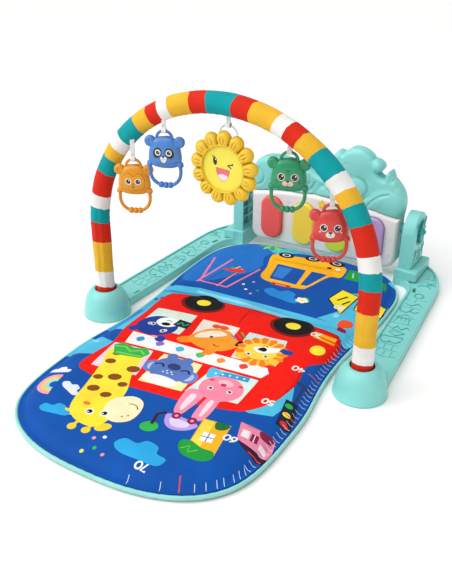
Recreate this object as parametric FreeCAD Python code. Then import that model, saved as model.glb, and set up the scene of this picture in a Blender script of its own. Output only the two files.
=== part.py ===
import FreeCAD, Part
import math
import os
from FreeCAD import Vector

# Activity play gym for babies: a padded floor mat, two side rails with cups that carry a striped arch,
# five hanging toys, and a kick piano that tilts between two posts behind the mat.
# Millimetres. +X is the baby's gym right side seen from the front, +Y runs back to the piano, +Z is up.
# The origin is on the floor, midway between the two feet of the arch.

# ---- driving dimensions ----
ARCH_HALF = 238.0          # centreline of each leg from the middle, and radius of the arch
ARCH_SPRING_Z = 165.0      # height where the straight legs turn into the half circle
SLEEVE_R = 16.25           # fabric sleeve, outside
SLEEVE_IN_R = 14.9         # fabric sleeve, inside
TUBE_R = 14.5              # plastic arch tube, outside
TUBE_IN_R = 12.0           # plastic arch tube, bore
JOINER_R = 11.9            # plug that joins the two arch tubes at the top
JOINER_HALF_ANGLE = 8.0    # degrees of arch that the plug fills each side of the top
SLEEVE_END_Z = 34.0
TUBE_END_Z = 3.4

CUP_BASE_R = 41.5
CUP_H = 48.5
CUP_HOLE_R = 19.0
WALL = 2.6                 # common wall of the moulded parts

RAIL_H = 15.0
RAIL_FLOOR = 12.6          # sunk top surface inside the raised rim
RAIL_RIM = 5.0
RAIL_PLATE = 3.0
RAIL_END_X = 163.0         # the rail turns in under the post and ends here
CUP_GAP = 0.4

MAT_BOTTOM = 0.0
MAT_TOP = 20.0
PIPING_W = 4.0
PIPING_Z0 = 2.0
PIPING_Z1 = 9.0

PIVOT_Y = 402.0            # piano tilt axis, along X
PIVOT_Z = 98.0
POST_IN_X = 167.5
POST_OUT_X = 192.0
POST_R = 37.0
PLINTH_IN_X = 161.0
PLINTH_OUT_X = 206.0
PLINTH_Y0 = 355.0
PLINTH_Y1 = 441.0
PLINTH_TOP = 33.0
STUD_R = 4.0
PIVOT_BOSS_R = 9.0         # boss on each side of the piano, round the stud
POST_FLAT = 4.0            # flat at the back of the round head
RECESS_DEPTH = 9.0
RUN_GAP = 0.06             # radial running clearance of the knob's stud

PIANO_HALF = 155.0
PANEL_Y0 = 378.0
PANEL_Y1 = 398.0
PANEL_Z0 = 18.0
PANEL_TOP_SIDE = 119.0
PANEL_TOP_MID = 136.0
PANEL_CORNER_R = 22.0
BACK_Y0 = 398.3
BACK_Y1 = 412.0
TRAY_Y1 = 425.0            # back of the battery tray, which stands out behind
SHELL = 2.5

KEY_PITCH = 71.0
KEY_W = 46.0
KEY_Z0 = 30.0
KEY_Z1 = 118.0
KEY_FRONT_Y = 369.5
KEY_GAP = 0.5
KEY_COLOURS = ["red", "yellow", "lime", "purple"]

TOY_BODY_HALF_T = 8.0
HOOK_R = 12.0
HOOK_TUBE_R = 2.2
HANDLE_TUBE_R = 2.5
HANDLE_HALF_W = 23.5
PAW_Z = -52.5
STRAP_W = 7.0
STRAP_T = 1.8
STRAP_LOOP_IN = 3.0
STRAP_LOOP_OUT = 3.9
HINGE_GAP = 1.6
# name, x, y, z of the hook's top, yaw in degrees
TOYS = [
    ("monkey", -154.5, -10.0, 301.0, 24.0),
    ("raccoon", -96.0, -8.0, 354.0, 18.0),
    ("tiger", 101.0, 9.0, 349.5, 18.0),
    ("bear", 168.5, 10.0, 286.0, 24.0),
]

SUN_X = 2.0
SUN_Z = 309.0
SUN_R = 56.0
SUN_PETALS = 13
SUN_DISC_R = 34.0         # opening that shows the face and the mirror
SUN_STRAP_X = 9.0
SUN_RING_TOP_Z = 376.0
SUN_RING_R = 14.5
SUN_RING_WIRE = 1.3

X_AXIS = Vector(1, 0, 0)
Y_AXIS = Vector(0, 1, 0)
Z_AXIS = Vector(0, 0, 1)


# ---- small shape helpers ----
def box(x0, x1, y0, y1, z0, z1):
    return Part.makeBox(x1 - x0, y1 - y0, z1 - z0, Vector(x0, y0, z0))


def cyl(radius, start, end):
    axis = end - start
    return Part.makeCylinder(radius, axis.Length, start, axis)


def mirrored(shape):
    return shape.mirror(Vector(0, 0, 0), X_AXIS)


def fuse_all(shapes):
    return shapes[0].multiFuse(shapes[1:]).removeSplitter()


def curve(points):
    spline = Part.BSplineCurve()
    spline.interpolate(points)
    return spline.toShape()


def closed_curve(points):
    spline = Part.BSplineCurve()
    spline.interpolate(points, PeriodicFlag=True)
    return Part.Wire([spline.toShape()])


def moved_points(edge, distance, count):
    """Points along a curve in a level plane, each moved sideways; positive is away from the middle."""
    moved = []
    for number in range(count + 1):
        share = number / count
        along = edge.FirstParameter + (edge.LastParameter - edge.FirstParameter) * share
        place = edge.valueAt(along)
        outward = edge.tangentAt(along).cross(Z_AXIS)
        if outward.dot(place) < 0:
            outward = -outward
        moved.append(place + outward * distance)
    return moved


def fillet_plane(shape, radius, axis, value):
    """Round every edge that lies wholly in the plane where the axis coordinate has this value."""
    picked = []
    for edge in shape.Edges:
        low = getattr(edge.BoundBox, axis + "Min")
        high = getattr(edge.BoundBox, axis + "Max")
        if abs(low - value) < 0.01 and abs(high - value) < 0.01:
            picked.append(edge)
    return shape.makeFillet(radius, picked)


def rounded_rect(x0, x1, z0, z1, radius, y):
    """Face in a plane of constant y."""
    block = box(x0, x1, y, y + 1, z0, z1)
    upright = [e for e in block.Edges if abs(e.BoundBox.YLength - 1) < 0.01]
    block = block.makeFillet(radius, upright)
    return min(block.Faces, key=lambda f: abs(f.BoundBox.YMax - y) + f.BoundBox.YLength)


# ---- mat ----
def mat_outline(grow):
    """Pear-shaped mat: wide round front, a waist under the arch, rounded rear corners."""
    right = [
        (0, -352), (60, -349), (110, -337), (150, -315), (178, -282), (192, -235), (196, -170),
        (195, -100), (187, -40), (183, 20), (184, 70), (189, 125), (194, 185), (195, 245),
        (190, 297), (174, 333), (146, 361), (110, 374), (60, 379), (0, 380),
    ]
    left = [(-x, y) for x, y in reversed(right[1:-1])]
    wire = closed_curve([Vector(x, y, 0) for x, y in right + left])
    if not grow:
        return Part.Face(wire)
    return Part.Face(closed_curve(moved_points(wire.Edges[0], grow, 60)[:-1]))


def mat_pad():
    body = mat_outline(0).extrude(Vector(0, 0, MAT_TOP - MAT_BOTTOM))
    return fillet_plane(body, 7.0, "Z", MAT_TOP)


def mat_piping():
    height = PIPING_Z1 - PIPING_Z0
    outer = mat_outline(PIPING_W).extrude(Vector(0, 0, height))
    inner = mat_outline(0.2).extrude(Vector(0, 0, 3 * height))
    inner.translate(Vector(0, 0, -height))
    ring = outer.cut(inner)
    ring.translate(Vector(0, 0, PIPING_Z0))
    return ring


# ---- side frames ----
def foot_cup():
    outer = [(CUP_BASE_R, 3), (40.2, 8), (38.9, 18), (35.2, 32), (28.6, 43.5), (22.3, CUP_H)]
    inner = [(CUP_HOLE_R, CUP_H - 3.5), (25.2, 41), (32, 30.5), (35.8, 17), (37.4, 3)]
    edges = [
        Part.makeLine(Vector(37.4, 0, 0), Vector(CUP_BASE_R, 0, 0)),
        Part.makeLine(Vector(CUP_BASE_R, 0, 0), Vector(CUP_BASE_R, 0, 3)),
        curve([Vector(r, 0, z) for r, z in outer]),
        Part.makeLine(Vector(22.3, 0, CUP_H), Vector(CUP_HOLE_R, 0, CUP_H)),
        Part.makeLine(Vector(CUP_HOLE_R, 0, CUP_H), Vector(CUP_HOLE_R, 0, CUP_H - 3.5)),
        curve([Vector(r, 0, z) for r, z in inner]),
        Part.makeLine(Vector(37.4, 0, 3), Vector(37.4, 0, 0)),
    ]
    shell = Part.Face(Part.Wire(edges)).revolve(Vector(0, 0, 0), Z_AXIS, 360)
    floor = cyl(38.4, Vector(0, 0, 1), Vector(0, 0, 3))
    socket = cyl(17.4, Vector(0, 0, 2), Vector(0, 0, 32))
    socket = socket.cut(cyl(14.6, Vector(0, 0, 3), Vector(0, 0, 33)))
    ribs = []
    for turn in range(4):
        rib = box(16.5, 33.5, -1.2, 1.2, 2, 25)
        rib.rotate(Vector(0, 0, 0), Z_AXIS, 90 * turn + 45)
        ribs.append(rib)
    cup = fuse_all([shell, floor, socket] + ribs)
    cup.translate(Vector(ARCH_HALF, 0, 0))
    return cup


def rail_face(shrink):
    """Plan outline of the right rail, from the cup back to the post."""
    outer = curve([Vector(x, y, 0) for x, y in [
        (271, 20), (266, 110), (260, 210), (253, 320), (246, 375), (229, 413), (204, 440)]])
    inner = curve([Vector(x, y, 0) for x, y in [
        (RAIL_END_X, 357), (186, 354), (199, 333), (204, 290),
        (206, 230), (209, 150), (213, 80), (215, 20)]])
    if shrink:
        outer = curve(moved_points(outer, -shrink, 14))
        inner = curve(moved_points(inner, shrink, 14))
    outer_start, outer_end = outer.valueAt(outer.FirstParameter), outer.valueAt(outer.LastParameter)
    inner_start, inner_end = inner.valueAt(inner.FirstParameter), inner.valueAt(inner.LastParameter)
    corner = Vector(inner_start.x, outer_end.y, 0)
    edges = [
        outer,
        Part.makeLine(outer_end, corner),
        Part.makeLine(corner, inner_start),
        inner,
        Part.makeLine(inner_end, outer_start),
    ]
    return Part.Face(Part.Wire(edges))


def rail_block(shrink, z0, z1):
    """Block between two heights inside the rail's outline, shrunk on every side."""
    block = rail_face(shrink).extrude(Vector(0, 0, z1 - z0))
    block.translate(Vector(0, 0, z0))
    if not shrink:
        return block
    return block.common(box(RAIL_END_X + shrink, 300, 0, 440 - shrink, z0 - 1, z1 + 1))


def slot(x, y, length, width, angle):
    """Through slot for a mat strap, its length along Y before it is turned."""
    half = (length - width) / 2
    cutter = fuse_all([
        box(-width / 2, width / 2, -half, half, -1, RAIL_H + 1),
        cyl(width / 2, Vector(0, -half, -1), Vector(0, -half, RAIL_H + 1)),
        cyl(width / 2, Vector(0, half, -1), Vector(0, half, RAIL_H + 1)),
    ])
    cutter.rotate(Vector(0, 0, 0), Z_AXIS, angle)
    cutter.translate(Vector(x, y, 0))
    return cutter


STRAP_SLOTS = [(221, 66, 2), (213, 330, 12)]
POST_SCREW_XY = [(178, 370), (178, 426)]


def rail():
    block = fillet_plane(rail_block(0, 0, RAIL_H), 2.0, "Z", RAIL_H)
    block = block.cut(rail_block(RAIL_RIM, RAIL_FLOOR, RAIL_H + 5))
    block = block.cut(rail_block(WALL, -1, RAIL_FLOOR - RAIL_PLATE))
    collars = []
    for x, y, angle in STRAP_SLOTS:
        collars.append(slot(x, y, 22, 10, angle).common(box(150, 290, 0, 450, 0, RAIL_FLOOR - 0.5)))
    for x, y in POST_SCREW_XY:
        collars.append(cyl(5.5, Vector(x, y, 0), Vector(x, y, RAIL_FLOOR - 0.5)))
    inside = rail_block(0.5, 0, RAIL_FLOOR)
    block = fuse_all([block] + [collar.common(inside) for collar in collars])
    for x, y, angle in STRAP_SLOTS:
        block = block.cut(slot(x, y, 18, 6, angle))
    for x, y in POST_SCREW_XY:
        block = block.cut(cyl(2.1, Vector(x, y, -1), Vector(x, y, RAIL_H + 1)))
        block = block.cut(cyl(4.2, Vector(x, y, -1), Vector(x, y, 4.2)))
    cup_room = cyl(CUP_BASE_R + CUP_GAP, Vector(ARCH_HALF, 0, -1), Vector(ARCH_HALF, 0, RAIL_H + 1))
    return block.cut(cup_room)


def plinth_block(shrink, z0, z1):
    """Part of the rail's outline under the post, as a block."""
    corner = Vector(PLINTH_IN_X, PLINTH_Y0, 0)
    area = Part.makePlane(PLINTH_OUT_X - PLINTH_IN_X, PLINTH_Y1 - PLINTH_Y0, corner)
    block = rail_face(0).common(area).extrude(Vector(0, 0, z1 - z0))
    block.translate(Vector(0, 0, z0))
    if shrink:
        x0, x1 = PLINTH_IN_X + shrink, PLINTH_OUT_X - shrink
        block = block.common(box(x0 + 2, x1, PLINTH_Y0 + shrink + 2, PLINTH_Y1 - shrink - 1, 0, 99))
    return block


def post_outline(shrink, x0, x1):
    """Upright with a round head, flat at the back, between two values of X."""
    front, back = PIVOT_Y - POST_R + shrink, PIVOT_Y + POST_R - POST_FLAT - shrink
    head = cyl(POST_R - shrink, Vector(x0, PIVOT_Y, PIVOT_Z), Vector(x1, PIVOT_Y, PIVOT_Z))
    head = head.cut(box(x0 - 1, x1 + 1, back, PIVOT_Y + POST_R + 1, 0, 200))
    return fuse_all([box(x0, x1, front, back, PLINTH_TOP - 2 + 2 * shrink, PIVOT_Z), head])


def post():
    """Hollow post that carries the piano; open and ribbed on the inner side."""
    z_base = RAIL_H + 0.1
    plinth = plinth_block(0, z_base, PLINTH_TOP)
    plinth = fillet_plane(plinth, 2.5, "Z", PLINTH_TOP)
    plinth = plinth.cut(plinth_block(WALL, z_base - 1, PLINTH_TOP - WALL))
    upright = fillet_plane(post_outline(0, POST_IN_X, POST_OUT_X), 5.0, "X", POST_OUT_X)
    floor_x = POST_OUT_X - RECESS_DEPTH - WALL
    upright = upright.cut(post_outline(WALL, POST_IN_X - 1, floor_x))
    front, back = PIVOT_Y - POST_R + 1, PIVOT_Y + POST_R - POST_FLAT - 1
    ribs = [box(POST_IN_X + 6, floor_x + 1, front, back, z - 1.2, z + 1.2) for z in (56, 76)]
    ribs.append(box(POST_IN_X + 6, floor_x + 1, PIVOT_Y - 1.2, PIVOT_Y + 1.2, PLINTH_TOP, PIVOT_Z - 9))
    hub = cyl(11, Vector(POST_IN_X + 0.5, PIVOT_Y, PIVOT_Z), Vector(floor_x + 1, PIVOT_Y, PIVOT_Z))
    bosses = [cyl(4.5, Vector(x, y, z_base), Vector(x, y, PLINTH_TOP - 1)) for x, y in POST_SCREW_XY]
    body = fuse_all([plinth, upright, hub] + ribs + bosses)
    outside = Vector(POST_OUT_X + 1, PIVOT_Y, PIVOT_Z)
    recess = cyl(23, Vector(POST_OUT_X - RECESS_DEPTH, PIVOT_Y, PIVOT_Z), outside)
    bore = cyl(STUD_R + RUN_GAP, Vector(POST_IN_X - 1, PIVOT_Y, PIVOT_Z), outside)
    body = body.cut(recess).cut(bore)
    for x, y in POST_SCREW_XY:
        body = body.cut(cyl(1.9, Vector(x, y, z_base - 1), Vector(x, y, z_base + 12)))
    return body


def screw(head_r, head_h, shank_r, length):
    """Pan-head self-tapping screw, head down, shank along +Z from the origin."""
    head = cyl(head_r, Vector(0, 0, 0), Vector(0, 0, head_h))
    shank = cyl(shank_r, Vector(0, 0, head_h), Vector(0, 0, length - 2))
    point = Part.makeCone(shank_r, 0.3, 2, Vector(0, 0, length - 2), Z_AXIS)
    arm = head_r * 0.6
    cross = fuse_all([box(-arm, arm, -0.4, 0.4, -1, 1), box(-0.4, 0.4, -arm, arm, -1, 1)])
    return fuse_all([head, shank, point]).cut(cross)


def post_screws():
    screws = []
    for side in (1, -1):
        for x, y in POST_SCREW_XY:
            one = screw(3.8, 2.4, 1.85, 20)
            one.translate(Vector(side * x, y, 1.6))
            screws.append(one)
    return Part.makeCompound(screws)


def grip_pads():
    """Soft pads pressed into the underside of both rails."""
    pads = []
    for side in (1, -1):
        for x, y in ((241, 100), (236, 200), (229, 310)):
            pads.append(cyl(9, Vector(side * x, y, 0), Vector(side * x, y, RAIL_FLOOR - RAIL_PLATE)))
    return Part.makeCompound(pads)


# ---- arch ----
def arch_solid(radius, z_end, side):
    """Round bar along one leg (side +1 or -1) and its quarter of the arch, or both for side 0."""
    def leg(sign):
        return cyl(radius, Vector(sign * ARCH_HALF, 0, z_end), Vector(sign * ARCH_HALF, 0, ARCH_SPRING_Z))

    def sweep(start_sign, degrees):
        ring = Part.makeCircle(radius, Vector(start_sign * ARCH_HALF, 0, ARCH_SPRING_Z), Z_AXIS)
        disc = Part.Face(Part.Wire([ring]))
        return disc.revolve(Vector(0, 0, ARCH_SPRING_Z), Vector(0, -1, 0), degrees)

    if side == 0:
        return fuse_all([leg(1), sweep(1, 180), leg(-1)])
    quarter = sweep(1, 90)
    half = leg(1).fuse(quarter)
    return half if side > 0 else mirrored(half)


def arch_tube(side):
    outer = arch_solid(TUBE_R, TUBE_END_Z, side)
    inner = arch_solid(TUBE_IN_R, TUBE_END_Z - 5, side)
    tube = outer.cut(inner)
    gap = 0.1
    return tube.cut(box(-gap, gap, -50, 50, 300, 500))


def arch_joiner():
    ring = Part.makeCircle(JOINER_R, Vector(0, 0, ARCH_SPRING_Z + ARCH_HALF), X_AXIS)
    disc = Part.Face(Part.Wire([ring]))
    start = Vector(0, 0, ARCH_SPRING_Z)
    disc.rotate(start, Y_AXIS, -JOINER_HALF_ANGLE)
    plug = disc.revolve(start, Y_AXIS, 2 * JOINER_HALF_ANGLE)
    return plug


def strap_place(x, y, top_z):
    """Height of the hinge line of a strap: below the sleeve's lowest point over the strap's width."""
    edge = abs(x) + STRAP_W / 2
    depth = math.sqrt(SLEEVE_R ** 2 - min(abs(y), SLEEVE_R - 1) ** 2)
    inner = ARCH_HALF - depth
    return ARCH_SPRING_Z + math.sqrt(inner ** 2 - edge ** 2) - 2.5


def strap_stub(x, y, yaw, hinge_z):
    """Short tab of webbing sewn into the sleeve's underside, above the place where the strap bends."""
    tab = box(-STRAP_W / 2, STRAP_W / 2, -STRAP_T / 2, STRAP_T / 2, hinge_z + HINGE_GAP, hinge_z + 14)
    tab.rotate(Vector(0, 0, 0), Z_AXIS, yaw)
    tab.translate(Vector(x, y, 0))
    return tab


def strap_list():
    """x, y, yaw and hook height of every strap, by toy name."""
    straps = {name: (x, y, yaw, z) for name, x, y, z, yaw in TOYS}
    straps["sun"] = (SUN_STRAP_X, 0.0, 0.0, SUN_RING_TOP_Z)
    return straps


def arch_sleeve():
    sleeve = arch_solid(SLEEVE_R, SLEEVE_END_Z, 0)
    stubs = [strap_stub(x, y, yaw, strap_place(x, y, z)) for x, y, yaw, z in strap_list().values()]
    sleeve = fuse_all([sleeve] + stubs)
    return sleeve.cut(arch_solid(SLEEVE_IN_R, SLEEVE_END_Z - 5, 0))


def strap(x, y, yaw, hook_z):
    """Webbing strap with a sewn loop round the toy's hook."""
    hinge_z = strap_place(x, y, hook_z)
    tube_z = hook_z - HOOK_TUBE_R
    loop = cyl(STRAP_LOOP_OUT, Vector(-STRAP_W / 2, 0, tube_z), Vector(STRAP_W / 2, 0, tube_z))
    web = box(-STRAP_W / 2, STRAP_W / 2, -STRAP_T / 2, STRAP_T / 2, tube_z, hinge_z)
    bend = cyl(STRAP_T / 2, Vector(-STRAP_W / 2, 0, hinge_z), Vector(STRAP_W / 2, 0, hinge_z))
    band = fuse_all([loop, web, bend])
    band = band.cut(cyl(STRAP_LOOP_IN, Vector(-STRAP_W, 0, tube_z), Vector(STRAP_W, 0, tube_z)))
    band.rotate(Vector(0, 0, 0), Z_AXIS, yaw)
    band.translate(Vector(x, y, 0))
    return band


# ---- animal rattles ----
def toy_outline(shrink):
    """Egg-shaped head seen from the front; a shrunken one is scaled about the middle of the head."""
    half_width = 25.0
    middle_z = -35.0
    scale = 1 - shrink / half_width
    right = [(0, -11), (13, -13.5), (21, -23), (half_width, -38), (24.5, -49), (17, -57), (0, -59.5)]
    points = right + [(-x, z) for x, z in reversed(right[1:-1])]
    scaled = [Vector(x * scale, 0, middle_z + (z - middle_z) * scale) for x, z in points]
    return Part.Face(closed_curve(scaled))


def toy_hook(tube_r):
    """Snap hook over the head: a ring with a mouth at the right shoulder."""
    ring = Part.makeTorus(HOOK_R, tube_r, Vector(0, 0, -HOOK_R - HOOK_TUBE_R), Y_AXIS)
    return ring.cut(box(6, 20, -10, 10, -20.5, -16.5))


def toy_half_head():
    """Back half of the head with its half of each ear and paw, solid."""
    half = toy_outline(0).extrude(Vector(0, TOY_BODY_HALF_T, 0))
    half = fillet_plane(half, 5.0, "Y", TOY_BODY_HALF_T)
    lumps = []
    for x in (-22.5, 22.5):
        ear = cyl(8.5, Vector(x, 0, -19), Vector(x, 4.5, -19))
        lumps.append(fillet_plane(ear, 2.0, "Y", 4.5))
    for x in (-HANDLE_HALF_W, HANDLE_HALF_W):
        lumps.append(Part.makeSphere(4.8, Vector(x, 0, PAW_Z), Y_AXIS, 0, 90, 360))
    return fuse_all([half] + lumps)


def toy_cavity():
    """Room inside the head; the handle's ends are clamped in the paws beside it."""
    room = toy_outline(2.0).extrude(Vector(0, TOY_BODY_HALF_T - 2.0, 0))
    grips = []
    for x in (-HANDLE_HALF_W, HANDLE_HALF_W):
        grips.append(cyl(HANDLE_TUBE_R + 0.03, Vector(x, 0, PAW_Z - 12), Vector(x, 0, PAW_Z + 1.03)))
    return fuse_all([room] + grips)


def toy_back_shell():
    return fuse_all([toy_half_head(), toy_hook(HOOK_TUBE_R)]).cut(toy_cavity())


def toy_front_shell():
    shell = toy_half_head().cut(toy_cavity()).mirror(Vector(0, 0, 0), Y_AXIS)
    return shell.cut(toy_hook(HOOK_TUBE_R + 0.05))


def toy_handle():
    """Lower grip ring, open at the top, with three beads in the middle of the grip."""
    bottom_z = -86.5
    bend = 15.0
    parts = []
    for sign in (-1, 1):
        x = sign * HANDLE_HALF_W
        parts.append(cyl(HANDLE_TUBE_R, Vector(x, 0, bottom_z + bend), Vector(x, 0, PAW_Z + 1)))
        centre = Vector(sign * (HANDLE_HALF_W - bend), 0, bottom_z + bend)
        ring = Part.makeTorus(bend, HANDLE_TUBE_R, centre, Y_AXIS)
        low_x, high_x = sorted((centre.x, centre.x + sign * 2 * bend))
        parts.append(ring.common(box(low_x, high_x, -9, 9, centre.z - 2 * bend, centre.z)))
    grip_x = HANDLE_HALF_W - bend
    parts.append(cyl(HANDLE_TUBE_R, Vector(-grip_x, 0, bottom_z), Vector(grip_x, 0, bottom_z)))
    for x in (-6.2, 0, 6.2):
        parts.append(Part.makeSphere(3.7, Vector(x, 0, bottom_z), X_AXIS))
    return fuse_all(parts)


def toy_beads():
    beads = []
    for x, z in ((-10, -53), (-4, -54.5), (3, -54.5), (9, -53), (-1, -50)):
        beads.append(Part.makeSphere(2.0, Vector(x, 0, z)))
    return Part.makeCompound(beads)


def toy_pieces():
    """One rattle with the top of its hook at the origin, facing -Y; all four are this one moulding."""
    return {
        "front_shell": toy_front_shell(),
        "back_shell": toy_back_shell(),
        "handle": toy_handle(),
        "rattle_beads": toy_beads(),
    }


def place_toy(shape, x, y, z, yaw):
    placed = shape.copy()
    placed.rotate(Vector(0, 0, 0), Z_AXIS, yaw)
    placed.translate(Vector(x, y, z))
    return placed


# ---- sunflower ----
def sun_petals(y0, y1, inner_r):
    """Ring of round petals between two depths, with a round hole in the middle."""
    petals = [cyl(SUN_R - 14, Vector(0, y0, 0), Vector(0, y1, 0))]
    petal_r = 12.8
    reach = SUN_R - petal_r
    for number in range(SUN_PETALS):
        angle = 2 * math.pi * number / SUN_PETALS + math.pi / 2
        x = reach * math.cos(angle)
        z = reach * math.sin(angle)
        petals.append(cyl(petal_r, Vector(x, y0, z), Vector(x, y1, z)))
    ring = fuse_all(petals)
    return ring.cut(cyl(inner_r, Vector(0, y0 - 1, 0), Vector(0, y1 + 1, 0)))


SUN_PLATE_R = SUN_DISC_R + 1.5
SUN_SEAT_R = SUN_PLATE_R + 0.3


def sun_ring_centre():
    return Vector(SUN_STRAP_X - SUN_X, 0, SUN_RING_TOP_Z - HOOK_TUBE_R - SUN_RING_R - SUN_Z)


def sun_ring_pocket():
    """Room between the two shells for the ring that carries the flower."""
    centre = sun_ring_centre()
    reach = SUN_RING_R + SUN_RING_WIRE + 1
    return box(centre.x - reach, centre.x + reach, -2.4, 2.4, centre.z - reach, centre.z + 30)


def sun_front_shell():
    ring = sun_petals(-9, 0, SUN_DISC_R)
    return ring.cut(cyl(SUN_SEAT_R, Vector(0, -4, 0), Vector(0, 1, 0))).cut(sun_ring_pocket())


def sun_back_shell():
    """Back of the petals, with the post that the ring hangs from."""
    ring = sun_petals(0.1, 8, SUN_DISC_R - 3)
    ring = ring.cut(cyl(SUN_SEAT_R, Vector(0, -1, 0), Vector(0, 3.6, 0))).cut(sun_ring_pocket())
    centre = sun_ring_centre()
    post_z = centre.z - SUN_RING_R + SUN_RING_WIRE + 1.9
    return ring.fuse(cyl(1.5, Vector(centre.x, -2.3, post_z), Vector(centre.x, 5, post_z)))


def sun_face_disc():
    return cyl(SUN_PLATE_R, Vector(0, -3.8, 0), Vector(0, -1.8, 0))


def sun_mirror():
    return cyl(SUN_PLATE_R, Vector(0, 1.5, 0), Vector(0, 3.5, 0))


def sun_ring():
    return Part.makeTorus(SUN_RING_R, SUN_RING_WIRE, sun_ring_centre(), Y_AXIS)


# ---- piano ----
def panel_face(y, shrink):
    """Front outline of the keyboard box: rounded lower corners, arched top."""
    side = PIANO_HALF
    left_top, right_top = Vector(-side, y, PANEL_TOP_SIDE), Vector(side, y, PANEL_TOP_SIDE)
    arc = Part.Arc(left_top, Vector(0, y, PANEL_TOP_MID), right_top)
    edges = [
        arc.toShape(),
        Part.makeLine(Vector(side, y, PANEL_TOP_SIDE), Vector(side, y, PANEL_Z0)),
        Part.makeLine(Vector(side, y, PANEL_Z0), Vector(-side, y, PANEL_Z0)),
        Part.makeLine(Vector(-side, y, PANEL_Z0), Vector(-side, y, PANEL_TOP_SIDE)),
    ]
    block = Part.Face(Part.Wire(edges)).extrude(Vector(0, 1, 0))
    upright = [e for e in block.Edges if e.BoundBox.YLength > 0.9 and e.BoundBox.DiagonalLength < 1.1]
    lower = [e for e in upright if e.BoundBox.ZMin < PANEL_Z0 + 1]
    block = block.makeFillet(PANEL_CORNER_R, lower)
    face = [f for f in block.Faces if f.BoundBox.YLength < 0.01 and abs(f.BoundBox.YMin - y) < 0.01][0]
    if shrink:
        face = face.makeOffset2D(-shrink)
    return face


def key_face(x, y, grow):
    half = KEY_W / 2 + grow
    z0 = KEY_Z0 - grow
    z1 = KEY_Z1 + grow
    return rounded_rect(x - half, x + half, z0, z1, half - 1.5, y)


def star_face(radius, y, z, points=5, inner=0.55):
    corners = []
    for number in range(2 * points):
        angle = math.pi / 2 + math.pi * number / points
        r = radius if number % 2 == 0 else radius * inner
        corners.append(Vector(r * math.cos(angle), y, z + r * math.sin(angle)))
    return Part.Face(Part.makePolygon(corners + [corners[0]]))


KEY_XS = [KEY_PITCH * (number - 1.5) for number in range(4)]
STAR_Z = 121.5
STAR_R = 8.5


def piano_front_panel():
    outer = panel_face(PANEL_Y0, 0).extrude(Vector(0, PANEL_Y1 - PANEL_Y0, 0))
    outer = fillet_plane(outer, 8.0, "Y", PANEL_Y0)
    inner = panel_face(PANEL_Y0 + SHELL, SHELL).extrude(Vector(0, PANEL_Y1 - PANEL_Y0, 0))
    inner = fillet_plane(inner, 6.0, "Y", PANEL_Y0 + SHELL)
    shell = outer.cut(inner)
    for x in KEY_XS:
        shell = shell.cut(key_face(x, PANEL_Y0 - 5, KEY_GAP).extrude(Vector(0, 12, 0)))
    for side in (1, -1):
        inner_end = Vector(side * (PIANO_HALF - 15), PIVOT_Y, PIVOT_Z)
        outer_end = Vector(side * (PIANO_HALF + 5), PIVOT_Y, PIVOT_Z)
        shell = shell.cut(cyl(PIVOT_BOSS_R + 0.3, inner_end, outer_end))
    return shell.cut(star_face(STAR_R + 0.6, PANEL_Y0 - 5, STAR_Z).extrude(Vector(0, 12, 0)))


def piano_key(x):
    cap_end = PANEL_Y0 + SHELL + 3
    cap = key_face(x, KEY_FRONT_Y, 0).extrude(Vector(0, cap_end - KEY_FRONT_Y, 0))
    cap = fillet_plane(cap, 4.5, "Y", KEY_FRONT_Y)
    flange = key_face(x, PANEL_Y0 + SHELL + 0.4, 2.0).extrude(Vector(0, 1.6, 0))
    hollow = key_face(x, KEY_FRONT_Y + 2, -2).extrude(Vector(0, cap_end, 0))
    stem = cyl(4, Vector(x, KEY_FRONT_Y + 1, 74), Vector(x, 385, 74))
    return fuse_all([fuse_all([cap, flange]).cut(hollow), stem])


def star_button():
    cap = star_face(STAR_R, PANEL_Y0 - 3, STAR_Z).extrude(Vector(0, 8, 0))
    flange = cyl(7.0, Vector(0, PANEL_Y0 + SHELL + 1.5, STAR_Z), Vector(0, PANEL_Y0 + SHELL + 3, STAR_Z))
    return fuse_all([cap, flange])


def skyline(y):
    """Edges of the skyline of two resting animals, left to right: a young hippo, then a horned rhino."""
    stretches = [
        [(-155, SKY_Z), (-160, 150), (-152, 180), (-124, 194), (-80, 193), (-38, 181), (-8, 170),
         (8, 178)],
        [(8, 178), (7, 200), (12, 217), (21, 228), (31, 226), (42, 235), (57, 239), (75, 235), (90, 222)],
        [(90, 222), (101, 220), (110, 210), (108, 203), (100, 198)],
        [(100, 198), (108, 192), (115, 190), (119, 199), (123.5, 206), (129, 199), (132, 191)],
        [(132, 191), (143, 181), (152, 168), (157, 152), (157, 135), (155, SKY_Z)],
    ]
    return [curve([Vector(x, y, z) for x, z in points]) for points in stretches]


SKY_Z = PANEL_TOP_SIDE + 0.3
# x, z, radius and height above the plate of each swelling of the two animals
LOBES = [(-112, 158, 28, 7), (-60, 160, 19, 5), (55, 206, 27, 7), (62, 163, 20, 9), (124, 153, 24, 8)]


def animal_pockets(y0, y1):
    """Coring of the animals, open to the inside of the piano."""
    return fuse_all([cyl(radius - 1, Vector(x, y0, z), Vector(x, y1, z)) for x, z, radius, _ in LOBES])


def animal_cover():
    plate_y = 384.0
    middle = Vector(0, plate_y, PANEL_TOP_MID + 0.3)
    arc = Part.Arc(Vector(PIANO_HALF, plate_y, SKY_Z), middle, Vector(-PIANO_HALF, plate_y, SKY_Z))
    outline = Part.Wire(skyline(plate_y) + [arc.toShape()])
    plate = Part.Face(outline).extrude(Vector(0, PANEL_Y1 - plate_y, 0))
    lobes = []
    for x, z, radius, proud in LOBES:
        lobe = cyl(radius, Vector(x, plate_y - proud, z), Vector(x, plate_y + 1, z))
        lobes.append(fillet_plane(lobe, proud - 1, "Y", plate_y - proud))
    return fuse_all([plate] + lobes).cut(animal_pockets(plate_y + SHELL, PANEL_Y1 + 1))


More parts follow.
